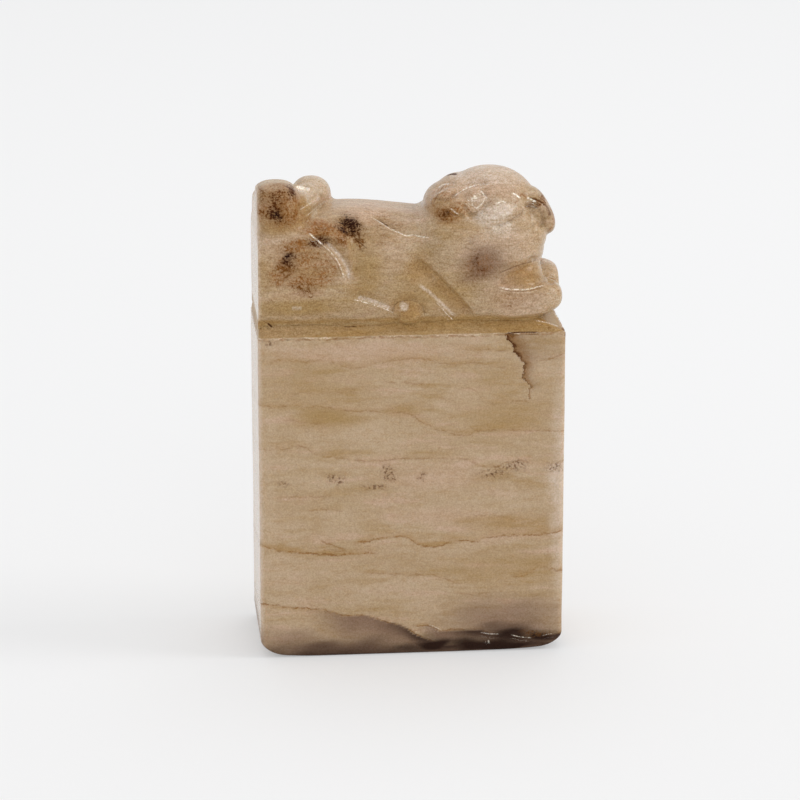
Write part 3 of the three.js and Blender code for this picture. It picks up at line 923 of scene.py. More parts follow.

# Stains by colour, a few of them painted sheen and shade: x and z of the middle, half sizes in x and z, and
# strength. A turn about Y in degrees may follow, and then the y of the middle and the half size in y, where
# they aren't what stainDepth says.
carvedStainsAndSheen = {
    "ochre": [
        (-10.0, 37.0, 3.5, 2.7, 0.5), (-8.0, 40.4, 3.1, 1.6, 0.5, 15, -5.8),
        (-12.0, 42.8, 2.6, 2.2, 0.55, 0, -5.0), (3.7, 41.5, 2.0, 1.3, 0.6, 10, -4.4, 2.4),
        (-0.28, 32.69, 1.55, 1.25, 0.8, 0, -6.4, 1.4), (0.61, 36.56, 1.28, 1.73, 0.5, 40, -6.2, 2.0),
        (10.28, 35.18, 2.37, 1.35, 0.7, 0, -5.4), (12.57, 35.08, 0.46, 0.48, 0.9, 0, -5.5),
    ],
    "rust": [
        (-11.92, 42.71, 2.55, 2.1, 0.68, 0, -5.0), (-10.53, 42.82, 1.0, 1.1, 0.46, 0, -4.5, 2.4),
        (-5.66, 40.53, 2.15, 2.2, 0.56, -25, -5.6, 2.8), (-8.04, 40.32, 2.5, 1.2, 0.64, 15, -5.8),
        (-10.04, 39.03, 1.6, 0.7, 0.58, 0, -6.2, 2.4), (-9.24, 37.35, 3.1, 2.1, 0.42),
        (-10.63, 38.53, 1.6, 0.9, 0.5, 10), (-11.53, 37.15, 1.2, 1.5, 0.53, 10),
        (-12.03, 35.96, 1.5, 0.9, 0.46, 35), (-10.14, 35.46, 2.2, 0.9, 0.5),
        (-8.35, 35.66, 1.7, 0.9, 0.46, -10), (-7.25, 36.55, 0.9, 1.2, 0.43),
        (1.83, 42.45, 0.82, 1.63, 0.37, 20, -3.2, 3.0), (0.33, 41.85, 1.28, 0.77, 0.35, 0, -3.5, 3.0),
        (3.61, 41.44, 1.7, 1.0, 0.56, 10, -4.4, 2.4), (2.92, 42.85, 1.9, 1.6, 0.4, 0, -3.2, 3.0),
        (4.91, 41.84, 0.82, 0.48, 0.37, 20, -4.4, 2.0), (4.21, 42.04, 1.1, 0.67, 0.5, 0, -4.4, 2.0),
        (6.9, 42.24, 0.82, 0.77, 0.35, 0, -4.2, 2.0), (7.8, 41.94, 0.37, 0.38, 0.5, 0, -4.2, 2.0),
        (9.59, 41.15, 0.73, 0.87, 0.35, 0, -4.0, 2.2), (9.9, 42.35, 1.1, 0.48, 0.5, -20, -3.6, 2.2),
        (12.4, 40.99, 1.5, 1.8, 0.5, -20, -2.2, 2.2), (12.7, 40.0, 1.2, 1.4, 0.6, 0, -2.2, 1.9),
        (11.5, 40.98, 1.1, 1.25, 0.37, 0, -2.4, 2.2), (9.49, 36.37, 1.9, 0.9, 0.37, 20, -5.2),
        (9.18, 33.59, 2.6, 1.2, 0.28, 0, -6.0), (6.19, 36.76, 2.0, 1.7, 0.42, 0, -6.0, 2.8),
        (-2.4, 41.3, 5.4, 1.5, 0.25, -3, -3.4, 5.0), (6.2, 42.6, 4.6, 2.6, 0.2, 0, -3.2, 4.0),
    ],
    "brown": [
        (-12.02, 42.61, 2.0, 1.8, 0.46, 0, -5.0), (-13.22, 43.4, 0.64, 0.87, 0.5, 0, -5.0, 2.4),
        (-12.3, 43.0, 1.5, 1.6, 0.3, 0, -5.2, 2.4), (-5.6, 41.1, 1.6, 2.4, 0.85, -30, -5.6, 2.8),
        (-4.56, 39.04, 0.73, 1.2, 0.64, -38, -5.9, 2.4), (-8.64, 39.53, 1.4, 0.6, 0.52, 10, -6.0, 2.4),
        (-11.43, 37.05, 1.1, 1.3, 0.46, 10), (-9.94, 35.17, 1.6, 0.6, 0.44),
        (-9.24, 34.18, 0.37, 0.23, 0.59, 0, -6.2, 2.0), (-1.87, 40.34, 2.3, 1.5, 0.34, -20, -5.3, 3.0),
        (-2.57, 39.24, 1.1, 0.77, 0.3, 0, -5.6), (3.31, 41.34, 1.1, 0.7, 0.5, 10, -4.4, 2.4),
        (11.7, 42.0, 1.5, 0.8, 0.62, -25, -2.9, 1.9), (13.87, 30.22, 0.55, 1.2, 0.65, 0, -5.4, 2.2),
    ],
    "dark": [
        (-12.12, 43.11, 1.4, 1.15, 0.5, 0, -5.0, 2.4), (-12.22, 42.32, 0.95, 1.2, 0.62, -20, -5.2, 2.4),
        (-10.93, 43.61, 0.82, 0.72, 0.62, 0, -4.5, 2.4), (-11.13, 37.84, 1.0, 1.2, 0.5),
        (-8.54, 39.13, 1.5, 0.6, 0.55, 0, -6.2, 2.4), (3.11, 41.34, 0.6, 0.55, 0.35, 0, -4.6, 2.0),
        (12.2, 41.1, 0.9, 0.9, 0.4, -20, -2.6, 1.6), (5.59, 37.15, 0.45, 1.3, 0.45, 8, -6.0),
        (6.09, 36.26, 1.2, 0.9, 0.36, 0, -6.0),
    ],
    "black": [
        (-11.85, 41.72, 0.7, 0.55, 0.7, 0, -5.2, 2.2), (-6.15, 41.85, 1.05, 0.95, 1.0, 0, -5.6),
        (-5.75, 41.35, 1.45, 2.15, 1.0, -32, -5.7, 2.8), (-11.23, 37.94, 0.6, 0.85, 0.5, 0, -6.2, 2.4),
    ],
    "smoke": [
        (6.49, 36.86, 2.35, 2.1, 0.85, 0, -6.0, 2.8), (6.29, 36.56, 1.28, 1.54, 0.5, 0, -6.0),
        (-14.7, 1.0, 1.3, 2.4, 0.85, 0, 0.0, 12.0), (-13.43, 1.15, 1.42, 0.83, 0.6, 0, -6.0, 3.0),
    ],
    "milk": [
        (7.09, 40.93, 2.19, 1.54, 0.6, 15, -5.4, 2.0), (8.09, 40.04, 1.64, 0.77, 0.3, 25, -5.4, 2.0),
        (6.3, 42.53, 1.0, 0.87, 0.45, 0, -4.4, 1.8), (-9.22, 42.88, 1.1, 0.58, 0.35, 0, -1.0, 3.0),
        (-7.72, 42.83, 1.46, 1.15, 0.3, 0, 2.0, 3.5), (-5.76, 36.46, 0.45, 1.25, 0.6, 0, -6.2, 2.0),
        # from (6.92, 44.38) on: the head's top paler, partly painted sheen, and the block's right edge paler,
        # painted sheen
        (6.92, 44.38, 3.6, 1.2, 0.55, 0, -1.0, 5.0), (13.67, 15.13, 0.9, 12.0, 0.5, 0, -6.3, 1.2),
        (13.27, 16.52, 1.2, 2.4, 0.6, 0, -6.3, 1.2),
    ],
    "blush": [
        (6.42, 43.76, 4.75, 1.73, 0.7, 0, -2.0, 6.0), (-2.66, 41.56, 5.11, 0.96, 0.7, -3, -3.0, 6.0),
        (8.28, 38.54, 4.2, 2.31, 0.4, 0, -6.0, 3.0), (10.18, 33.39, 3.1, 2.11, 0.45, 0, -6.0, 3.0),
        (-2.27, 38.44, 2.74, 2.31, 0.35), (-12.22, 39.03, 2.01, 1.73, 0.35),
    ],
    "olive": [
        (-10.14, 33.28, 6.02, 1.35, 0.95), (-4.07, 35.96, 2.01, 3.65, 0.8), (0.61, 34.38, 4.75, 2.5, 0.7),
        (4.2, 34.28, 1.64, 3.08, 0.6, 40), (-12.22, 40.62, 2.37, 0.87, 0.7, 0, -5.8),
        (-13.22, 36.16, 1.28, 2.11, 0.4), (-9.63, 41.83, 1.46, 0.96, 0.6, 20, -4.4),
    ],
    "pale": [
        # painted sheen: the block's left edge paler
        (-13.43, 16.13, 1.3, 12.0, 0.6, 0, -6.3, 1.2),
    ],
}
faceStains = {
    "dark": [
        (9.0, 30.1, 0.4, 0.3, 0.8),
    ],
    "blush": [
        (-4.07, 29.22, 10.0, 1.1, 0.6), (1.41, 16.92, 5.0, 1.4, 0.55), (2.41, 13.15, 5.0, 1.0, 0.5),
    ],
    "olive": [
        (-9.04, 25.45, 6.0, 2.6, 0.4), (-7.85, 22.87, 3.6, 1.4, 0.85), (-1.28, 23.47, 2.2, 0.7, 0.6),
        (8.88, 22.87, 5.0, 2.2, 0.6), (7.89, 26.05, 4.0, 1.8, 0.35), (8.39, 8.18, 5.2, 2.0, 0.5),
    ],
    "pale": [
        (-3.57, 21.29, 4.2, 1.6, 0.6), (-10.04, 17.12, 3.5, 2.0, 0.4), (9.88, 14.73, 4.2, 1.4, 0.5),
        (-6.56, 13.15, 2.6, 1.6, 0.55), (-11.54, 6.81, 2.6, 2.2, 0.5), (-1.08, 5.81, 6.0, 1.4, 0.3),
    ],
    "ochre": [
        (9.39, 12.15, 5.0, 1.2, 0.3),
    ],
}
# The foot darker: the stone's own dusky stains, and along the bottom edge partly painted shade
footStainsAndShade = {
    "smoke": [
        (-6.5, -0.2, 12.5, 2.3, 1.0), (-10.64, 1.65, 4.72, 1.49, 0.6), (-2.67, 1.74, 3.6, 1.1, 0.75),
        (3.41, 1.24, 2.68, 0.75, 0.75), (8.49, 3.22, 5.98, 2.2, 0.75), (8.9, 2.3, 4.6, 1.2, 0.9),
        (6.9, 1.43, 1.1, 0.83, 0.6), (-6.56, 0.45, 9.0, 1.3, 0.95),
    ],
    "dusk": [
        (-6.0, -0.8, 11.5, 2.2, 0.78), (-3.0, -0.25, 6.5, 1.3, 0.55), (1.9, 0.7, 2.6, 0.9, 0.95),
        (-0.2, 0.5, 3.0, 0.9, 0.75), (4.9, 0.94, 3.4, 0.9, 0.55), (9.6, 1.7, 4.2, 1.15, 0.6),
        (9.29, 1.73, 3.0, 1.1, 1.0), (11.68, 1.33, 2.05, 0.83, 1.0, 10), (8.49, 0.44, 6.6, 1.0, 1.0),
    ],
    "pale": [
        (-8.25, 7.9, 5.98, 1.33, 0.3),
    ],
}
stainDepth = [(carvedStainsAndSheen, -6.2, 2.6), (faceStains, -6.3, 2.0), (footStainsAndShade, -6.3, 3.0)]

# Clusters of fine dark specks on the right side: x, z and half sizes
speckles = [
    (-7.35, 17.02, 0.5, 0.35), (-6.66, 16.82, 0.5, 0.4), (-2.2, 17.5, 0.6, 0.7), (-1.78, 16.92, 0.5, 0.4),
    (0.75, 17.12, 0.4, 0.5), (9.2, 18.0, 1.6, 0.5), (7.49, 17.22, 1.5, 0.5), (13.07, 17.71, 0.7, 0.4),
    (-3.2, 16.2, 1.2, 0.35), (-12.92, 30.01, 0.6, 0.3), (11.38, 1.63, 1.6, 0.4), (-11.73, 16.73, 0.5, 0.25),
]

# Painted highlights on the edges that the wheel left polished and on the eye, and low on the right side the
# pale
# thread of a chip: a path of x and z as seen on the right side, width and strength
glintsAndChips = [
    ([(-10.37, 44.31), (-9.9, 44.26), (-9.2, 44.08)], 0.13, 2.2),
    ([(-3.6, 41.41), (-2.98, 40.99), (-2.35, 40.56), (-1.91, 40.24)], 0.05, 0.5),
    ([(-1.99, 40.32), (-1.38, 40.06), (-0.66, 39.71), (0.06, 39.73), (0.68, 39.59), (1.49, 39.46)],
     0.07, 0.9),
    ([(-9.31, 40.11), (-8.69, 39.55), (-8.07, 38.99)], 0.08, 0.9),
    ([(-8.07, 38.99), (-7.36, 38.3), (-6.74, 37.46), (-6.35, 36.53), (-6.22, 35.89)], 0.06, 0.7),
    ([(-5.36, 33.9), (-4.42, 33.64), (-3.17, 33.24), (-2.36, 32.89), (-1.74, 32.6)], 0.06, 0.8),
    ([(2.13, 33.48), (2.58, 33.02), (3.12, 32.35), (3.66, 31.79)], 0.05, 0.7),
    ([(7.89, 34.77), (8.34, 34.59), (9.06, 34.5), (10.33, 34.47), (11.23, 34.66), (11.95, 34.83)], 0.07, 0.8),
    ([(5.29, 42.96), (5.37, 42.44), (5.71, 42.1), (6.04, 42.27), (6.38, 42.68), (6.46, 43.02)], 0.06, 0.75),
    ([(5.44, 43.1), (5.84, 43.06)], 0.16, 2.4),
    ([(5.95, 43.7), (6.2, 43.53), (6.41, 43.32)], 0.07, 1.6),
    ([(6.39, 43.26), (6.67, 43.01)], 0.06, 0.9),
    ([(4.9, 42.9), (5.19, 42.64)], 0.045, 0.7),
    ([(5.09, 43.2), (5.39, 42.95)], 0.045, 0.6),
    ([(3.63, 43.08), (4.21, 43.57), (4.88, 43.94), (5.87, 44.22), (6.78, 44.24)], 0.06, 0.75),
    ([(8.91, 43.44), (9.29, 43.22), (9.67, 42.91)], 0.07, 1.4),
    ([(10.33, 42.94), (10.71, 42.72), (11.08, 42.55)], 0.09, 1.7),
    ([(10.13, 42.14), (10.63, 42.17), (11.22, 41.94)], 0.05, 0.6),
    ([(3.42, 42.11), (3.8, 41.76), (4.14, 41.54)], 0.06, 0.7),
    ([(4.76, 42.54), (5.13, 42.2)], 0.045, 0.5),
    ([(2.3, 44.03), (2.71, 44.28), (3.29, 44.35)], 0.06, 0.75),
    ([(2.11, 43.39), (2.8, 43.74), (3.5, 43.59)], 0.05, 0.5),
    ([(7.46, 42.44), (7.96, 42.63), (8.46, 42.54)], 0.08, 0.8),
    ([(12.21, 35.52), (12.53, 35.58), (12.85, 35.44)], 0.05, 0.5),
    ([(11.07, 31.59), (12.17, 31.34), (13.26, 30.95)], 0.06, 0.7),
    ([(-10.1, 42.27), (-9.38, 42.7), (-8.57, 43.18)], 0.05, 0.4),
    ([(-9.57, 41.62), (-8.85, 42.25), (-8.13, 42.86)], 0.05, 0.4),
    ([(6.39, 1.85), (7.1, 1.69), (7.99, 1.65)], 0.045, 0.7),
    ([(9.19, 1.53), (10.07, 1.29), (11.08, 1.18)], 0.045, 0.7),
    ([(12.08, 1.33), (12.68, 1.48), (13.27, 1.55)], 0.045, 0.45),
    ([(1.45, 2.8), (2.08, 2.54), (2.72, 2.18)], 0.06, 0.35),
    ([(7.07, 1.06), (7.17, 0.73)], 0.08, 0.7),
]

# Pale matt facets, in the same way
frosts = [
    ([(-5.14, 34.08), (-4.07, 33.87), (-2.99, 33.42), (-1.83, 32.88)], 0.22, 0.7),
    ([(0.33, 35.32), (1.5, 34.43), (2.77, 33.2), (4.12, 31.87)], 0.22, 0.5),
    ([(-7.98, 39.41), (-6.73, 38.19), (-5.94, 36.89), (-5.68, 35.69)], 0.2, 0.55),
    ([(-1.02, 32.92), (-0.57, 33.36)], 0.42, 0.95),
    ([(-10.96, 33.23), (-9.9, 33.21)], 0.25, 0.45),
    ([(5.79, 41.12), (6.79, 41.51), (7.98, 41.81), (9.08, 42.11)], 0.5, 1.25),
    ([(7.19, 39.98), (8.08, 40.18), (8.98, 40.42)], 0.4, 0.9),
    ([(10.57, 37.05), (11.57, 37.3), (12.07, 36.86)], 0.4, 0.45),
    ([(4.79, 43.15), (5.77, 42.85)], 0.6, 0.25),
    ([(-10.34, 44.18), (-9.28, 44.07)], 0.3, 0.5),
]

# Thin dark lines, most of them painted shade in the creases and where the beast meets the ledge, a few dark
# marks of the stone, in the same way
darkLines = [
    ([(7.83, 36.06), (9.38, 36.66), (10.77, 37.05), (11.47, 37.25)], 0.06, 0.5),
    ([(1.81, 42.5), (2.31, 43.49), (2.9, 44.38)], 0.05, 0.4),
    ([(-6.2, 31.41), (-5.69, 31.38), (-5.12, 31.42)], 0.07, 1.0),
    ([(-13.07, 31.87), (-12.82, 31.64), (-12.68, 31.49)], 0.1, 1.0),
    ([(-13.78, 32.29), (-12.85, 31.72), (-12.36, 31.37)], 0.035, 0.5),
    ([(-11.07, 31.64), (-8.39, 31.61), (-6.24, 31.41)], 0.03, 0.4),
    ([(-5.12, 31.42), (-3.0, 31.44), (-1.74, 31.6)], 0.03, 0.4),
    ([(0.96, 31.72), (3.3, 31.74), (6.01, 31.71), (11.07, 31.55)], 0.03, 0.25),
    ([(3.05, 45.13), (3.44, 45.23), (4.01, 45.22)], 0.1, 1.0),
    ([(10.52, 42.94), (11.33, 42.65), (12.15, 41.99), (12.43, 41.26)], 0.08, 0.6),
    ([(10.22, 42.22), (10.8, 42.06), (11.34, 42.06)], 0.05, 0.6),
    ([(0.1, 34.53), (0.32, 34.5)], 0.05, 1.0),
    ([(-5.21, 39.44), (-4.68, 39.06), (-4.06, 38.56)], 0.05, 0.7),
    ([(-3.34, 41.18), (-2.8, 40.99), (-2.17, 40.56)], 0.05, 0.7),
    ([(8.55, 30.39), (9.64, 30.49), (11.45, 30.45)], 0.06, 1.0),
    ([(4.55, 42.63), (4.96, 42.03), (5.38, 41.64), (5.96, 41.84), (6.38, 42.42), (6.54, 42.93)], 0.04, 0.35),
    ([(7.23, 40.21), (8.22, 40.6), (9.05, 41.06), (9.64, 41.43), (9.97, 41.84)], 0.04, 0.35),
    ([(-1.71, 32.28), (-1.78, 32.84), (-1.42, 33.47), (-0.39, 33.71), (0.51, 33.47), (0.99, 32.87),
      (1.07, 32.16)], 0.04, 0.4),
    ([(7.9, 34.56), (9.06, 34.31), (10.33, 34.32), (11.95, 34.65)], 0.04, 0.4),
    ([(0.33, 37.76), (1.67, 36.54), (3.47, 34.65), (5.83, 31.83)], 0.05, 0.15),
    ([(-8.33, 39.14), (-7.36, 38.02), (-6.65, 36.91), (-6.31, 35.8)], 0.04, 0.3),
]

crack = {
    "path": [  # height and x in the block's right side
        (30.41, 8.38), (29.76, 8.68), (29.36, 9.08), (28.76, 9.18), (28.37, 9.58), (27.86, 9.83),
        (27.53, 10.28), (26.97, 10.08), (26.47, 9.98), (26.05, 10.18), (25.45, 10.83), (25.15, 10.53),
        (24.56, 10.58), (24.16, 10.48),
    ],
    "tip": 24.1,  # height at which it ends
    "top": 30.2,
    "reachTip": 0.25,  # how far the brown reaches to the right of it at the tip
    "reachTop": 2.1,  # and at the top
    "highFrom": 27.7,  # height from which the stone beyond it is smoky
    "smoke": 0.5,
    "dusk": 0.3,
}

# Noises in the stone: scale per millimetre, detail, roughness and, where it is stretched, the factors of
# x, y and z
noises = {
    "cloud": (0.2, 4.0, 0.6, (0.6, 1.0, 1.5)),
    "sweep": (0.45, 5.0, 0.62, (0.35, 1.0, 2.0)),
    "flow": (0.8, 5.0, 0.66, (0.22, 0.5, 1.0)),
    "patches": (0.8, 4.0, 0.7),
    "jag": (1.1, 5.0, 0.66),
    "broken": (1.5, 4.0, 0.7),
    "flecks": (1.9, 5.0, 0.72, (0.8, 1.0, 1.2)),
    "teeth": (2.0, 4.0, 0.75),
    "fibre": (2.8, 4.0, 0.78, (0.35, 0.7, 1.3)),
    "dots": (4.5, 3.0, 0.65),
    "patchy": (4.6, 3.0, 0.8),
    "grain": (6.5, 2.0, 0.8),
}


def eased(t):
    t = np.clip(t, 0, 1)
    return t * t * (3 - 2 * t)


def warped(points):
    # moves each point by a sum of 24 sines in seeded directions, so that the edges of stains wander
    random = np.random.default_rng(5)
    waves = random.normal(size=(24, 3))
    turns = 2 * math.pi / stone["wanderSize"] * random.uniform(0.5, 2.2, 24)
    waves *= (turns / np.linalg.norm(waves, axis=1))[:, None]
    waves[:, 0] *= stone["wanderAlong"]
    shift = np.sin(points @ waves.T + random.uniform(0, 6.3, 24)) @ random.normal(size=(24, 3))
    return points + shift * stone["wander"] / math.sqrt(12)


def spreadField(points, middle, half, turn=0):
    # 1 in the middle, and smoothly down to 0 at 1.4 times the half sizes
    away = turned(points - warped(np.array([middle]))[0], -turn) / np.array(half)
    return eased((1.4 - np.linalg.norm(away, axis=1)) / 1.2)


def nearPath(plane, path, reach):
    middle = np.array(path)
    return np.flatnonzero(np.all((plane > middle.min(0) - reach) & (plane < middle.max(0) + reach), axis=1))


def markField(plane, marks):
    # strength times exp(-(d / width)^2), d being the distance to the path
    field = np.zeros(len(plane))
    for path, width, strength in marks:
        near = nearPath(plane, path, 3 * width)
        d, _, along = strokeField(plane[near], path)
        ends = np.clip(np.minimum(along, 1 - along) / 0.12, 0.35, 1)
        field[near] = np.maximum(field[near], strength * ends * np.exp(-((d / width) ** 2)))
    return field


def lineFields(plane, marks):
    # signed distance to the nearest path, divided by its width, and its strength, which fades at both ends
    away = np.full(len(plane), 9.0)
    show = np.zeros(len(plane))
    for path, width, strength in marks:
        near = nearPath(plane, path, 0.4)
        d, hand, along = strokeField(plane[near], path)
        closer = (d / width < np.abs(away[near])) & (d < 0.35)
        away[near[closer]] = (hand * d / width)[closer]
        ends = np.clip(np.minimum(along, 1 - along) / 0.1, 0, 1) ** 0.5
        show[near[closer]] = (strength * ends)[closer]
    return away, show


def veinFields(points):
    # signed height above the nearest vein, how strongly it shows, and the ochre beside all of them
    x = points[:, 0]
    z = points[:, 2] + stone["lean"] * (points[:, 1] + sideY)
    away = np.full(len(points), 5.0)
    show = np.zeros(len(points))
    ochre = np.zeros(len(points))
    shade = {name: np.zeros(len(points)) for name in ("smoke", "dusk")}
    below = []
    # a vein that comes within half a millimetre of an end of the block runs on past it
    end = sideX - 0.5
    for path, reach, hand, strength in veins:
        line = smoothPath(path, 12 * len(path))
        d = z - np.interp(x, line[:, 0], line[:, 1])
        first, last = path[0][0], path[-1][0]
        fade = eased(x - first + 0.1) if first > -end else 1.0
        fade = fade * (eased(last + 0.1 - x) if last < end else 1.0)
        closer = (np.abs(d) < np.abs(away)) & (fade > 0)
        away = np.where(closer, d, away)
        show = np.where(closer, strength * fade, show)
        ochre += min(1.0, strength) * fade * eased(1 - d * hand / reach) * eased((d * hand + 0.12) / 0.12)
        below.append(-d)
    for index, reach, name, strength, start, full in shades:
        d = below[index]
        part = eased((d + 0.02) / 0.12) * eased((reach - d) / reach) * eased((x - start) / (full - start))
        shade[name] = np.maximum(shade[name], strength * part)
    return away, show, np.clip(ochre, 0, 1), shade


def crackFields(points):
    # distance to the right of the crack in the right side, and the smoky and dusky stone beyond it
    x, y, z = points.T
    height, place = np.array(crack["path"][::-1]).T
    inside = (y < -sideY + 1.0) & (z < blockTop + 0.08) & (z > height[0])
    gap = np.where(inside, x - np.interp(z, height, place), -3.0)
    high = eased((z - crack["highFrom"]) / 0.3)
    low = (1 - high) * 0.8 * eased((z - crack["tip"] - 0.3) / 1.5)
    smoke = high * np.exp(-np.abs(gap) / 2.2) + low * np.exp(-((gap / 0.9) ** 2))
    right = eased((gap + 0.02) / 0.12)
    return gap, crack["smoke"] * smoke * right, crack["dusk"] * high * np.exp(-np.abs(gap) / 0.7) * right


def coverFields(points):
    moved = warped(points)
    fields = {name: np.zeros(len(points)) for name in (*washes, *mottles, "specks")}
    for table, *usual in stainDepth:
        for name, rows in table.items():
            for x, z, halfX, halfZ, strength, *rest in rows:
                turn, y, halfY = (*rest, *(0, *usual)[len(rest):])
                spread = strength * spreadField(moved, (x, y, z), (halfX, halfY, halfZ), turn)
                fields[name] = np.maximum(fields[name], spread)
    for x, z, halfX, halfZ in speckles:
        spread = spreadField(moved, (x, -sideY, z), (halfX, 1.5, halfZ))
        fields["specks"] = np.maximum(fields["specks"], spread)
    return fields


def markStone(piece):
    # every mark becomes a smooth value at the mesh's points; the shader breaks it up with noise
    points = pointsOf(piece.data) / mm
    normals = normalsOf(piece.data)
    values = coverFields(points)
    away, show, ochre, shade = veinFields(points)
    gap, smoke, dusk = crackFields(points)
    for name, part in (*shade.items(), ("smoke", smoke), ("dusk", dusk)):
        values[name] = np.maximum(values[name], part)
    values.update(veinAway=away, veinShow=show, veinOchre=ochre, crack=gap)
    # marks of the wheel show on the right side and the top, and not on the printing face's walls
    seen = eased((0.35 * normals[:, 2] - normals[:, 1]) / 0.25) * (points[:, 2] > 0.6)
    plane = sighted(points, -1)
    values["frost"] = markField(plane, frosts) * seen
    for name, marks in (("glintAndChip", glintsAndChips), ("darkLine", darkLines)):
        values[name + "Away"], show = lineFields(plane, marks)
        values[name + "Show"] = show * seen
    for name, field in values.items():
        putValues(piece.data, name, field)


def look(name):
    # the stone's own colour for one that it shows
    s = np.array(shown[name]) / 255
    linear = np.where(s <= 0.04045, s / 12.92, ((s + 0.055) / 1.055) ** 2.4)
    return (*(np.maximum(linear - stone["sheen"], 0.5 * linear) * np.array(stone["lift"])).tolist(), 1.0)


def mottleGroup():
    # breaks a smooth value into mottles: grains of noise fill in more and more as the value rises
    group, start, end = newGroup("mottle", ("Value", "Noise"), "Cover")
    grains = maths("SUBTRACT", start["Noise"], 1.1)
    filled = maths("DIVIDE", plus(times(start["Value"], 2.0), grains), 0.6, clamp=True)
    filled = most(filled, times(start["Value"], 0.5))
    uneven = scaled(start["Noise"], 0.3, 0.78, clamp=True)
    group.links.new(times(filled, uneven), end["Cover"])
    return group


def washGroup():
    # a soft cover that noise makes uneven
    group, start, end = newGroup("wash", ("Value", "Noise"), "Cover")
    uneven = scaled(start["Noise"], 0.6, 0.75)
    group.links.new(maths("MULTIPLY", start["Value"], uneven, clamp=True), end["Cover"])
    return group


def threadGroup():
    # a thin line where the value crosses zero, as wide as Width, broken by noise
    group, start, end = newGroup("thread", ("Value", "Width", "Noise"), "Line")
    line = ranged(maths("DIVIDE", maths("ABSOLUTE", start["Value"]), start["Width"]), 1.0, 0.25)
    group.links.new(times(line, ranged(start["Noise"], 0.36, 0.6)), end["Line"])
    return group


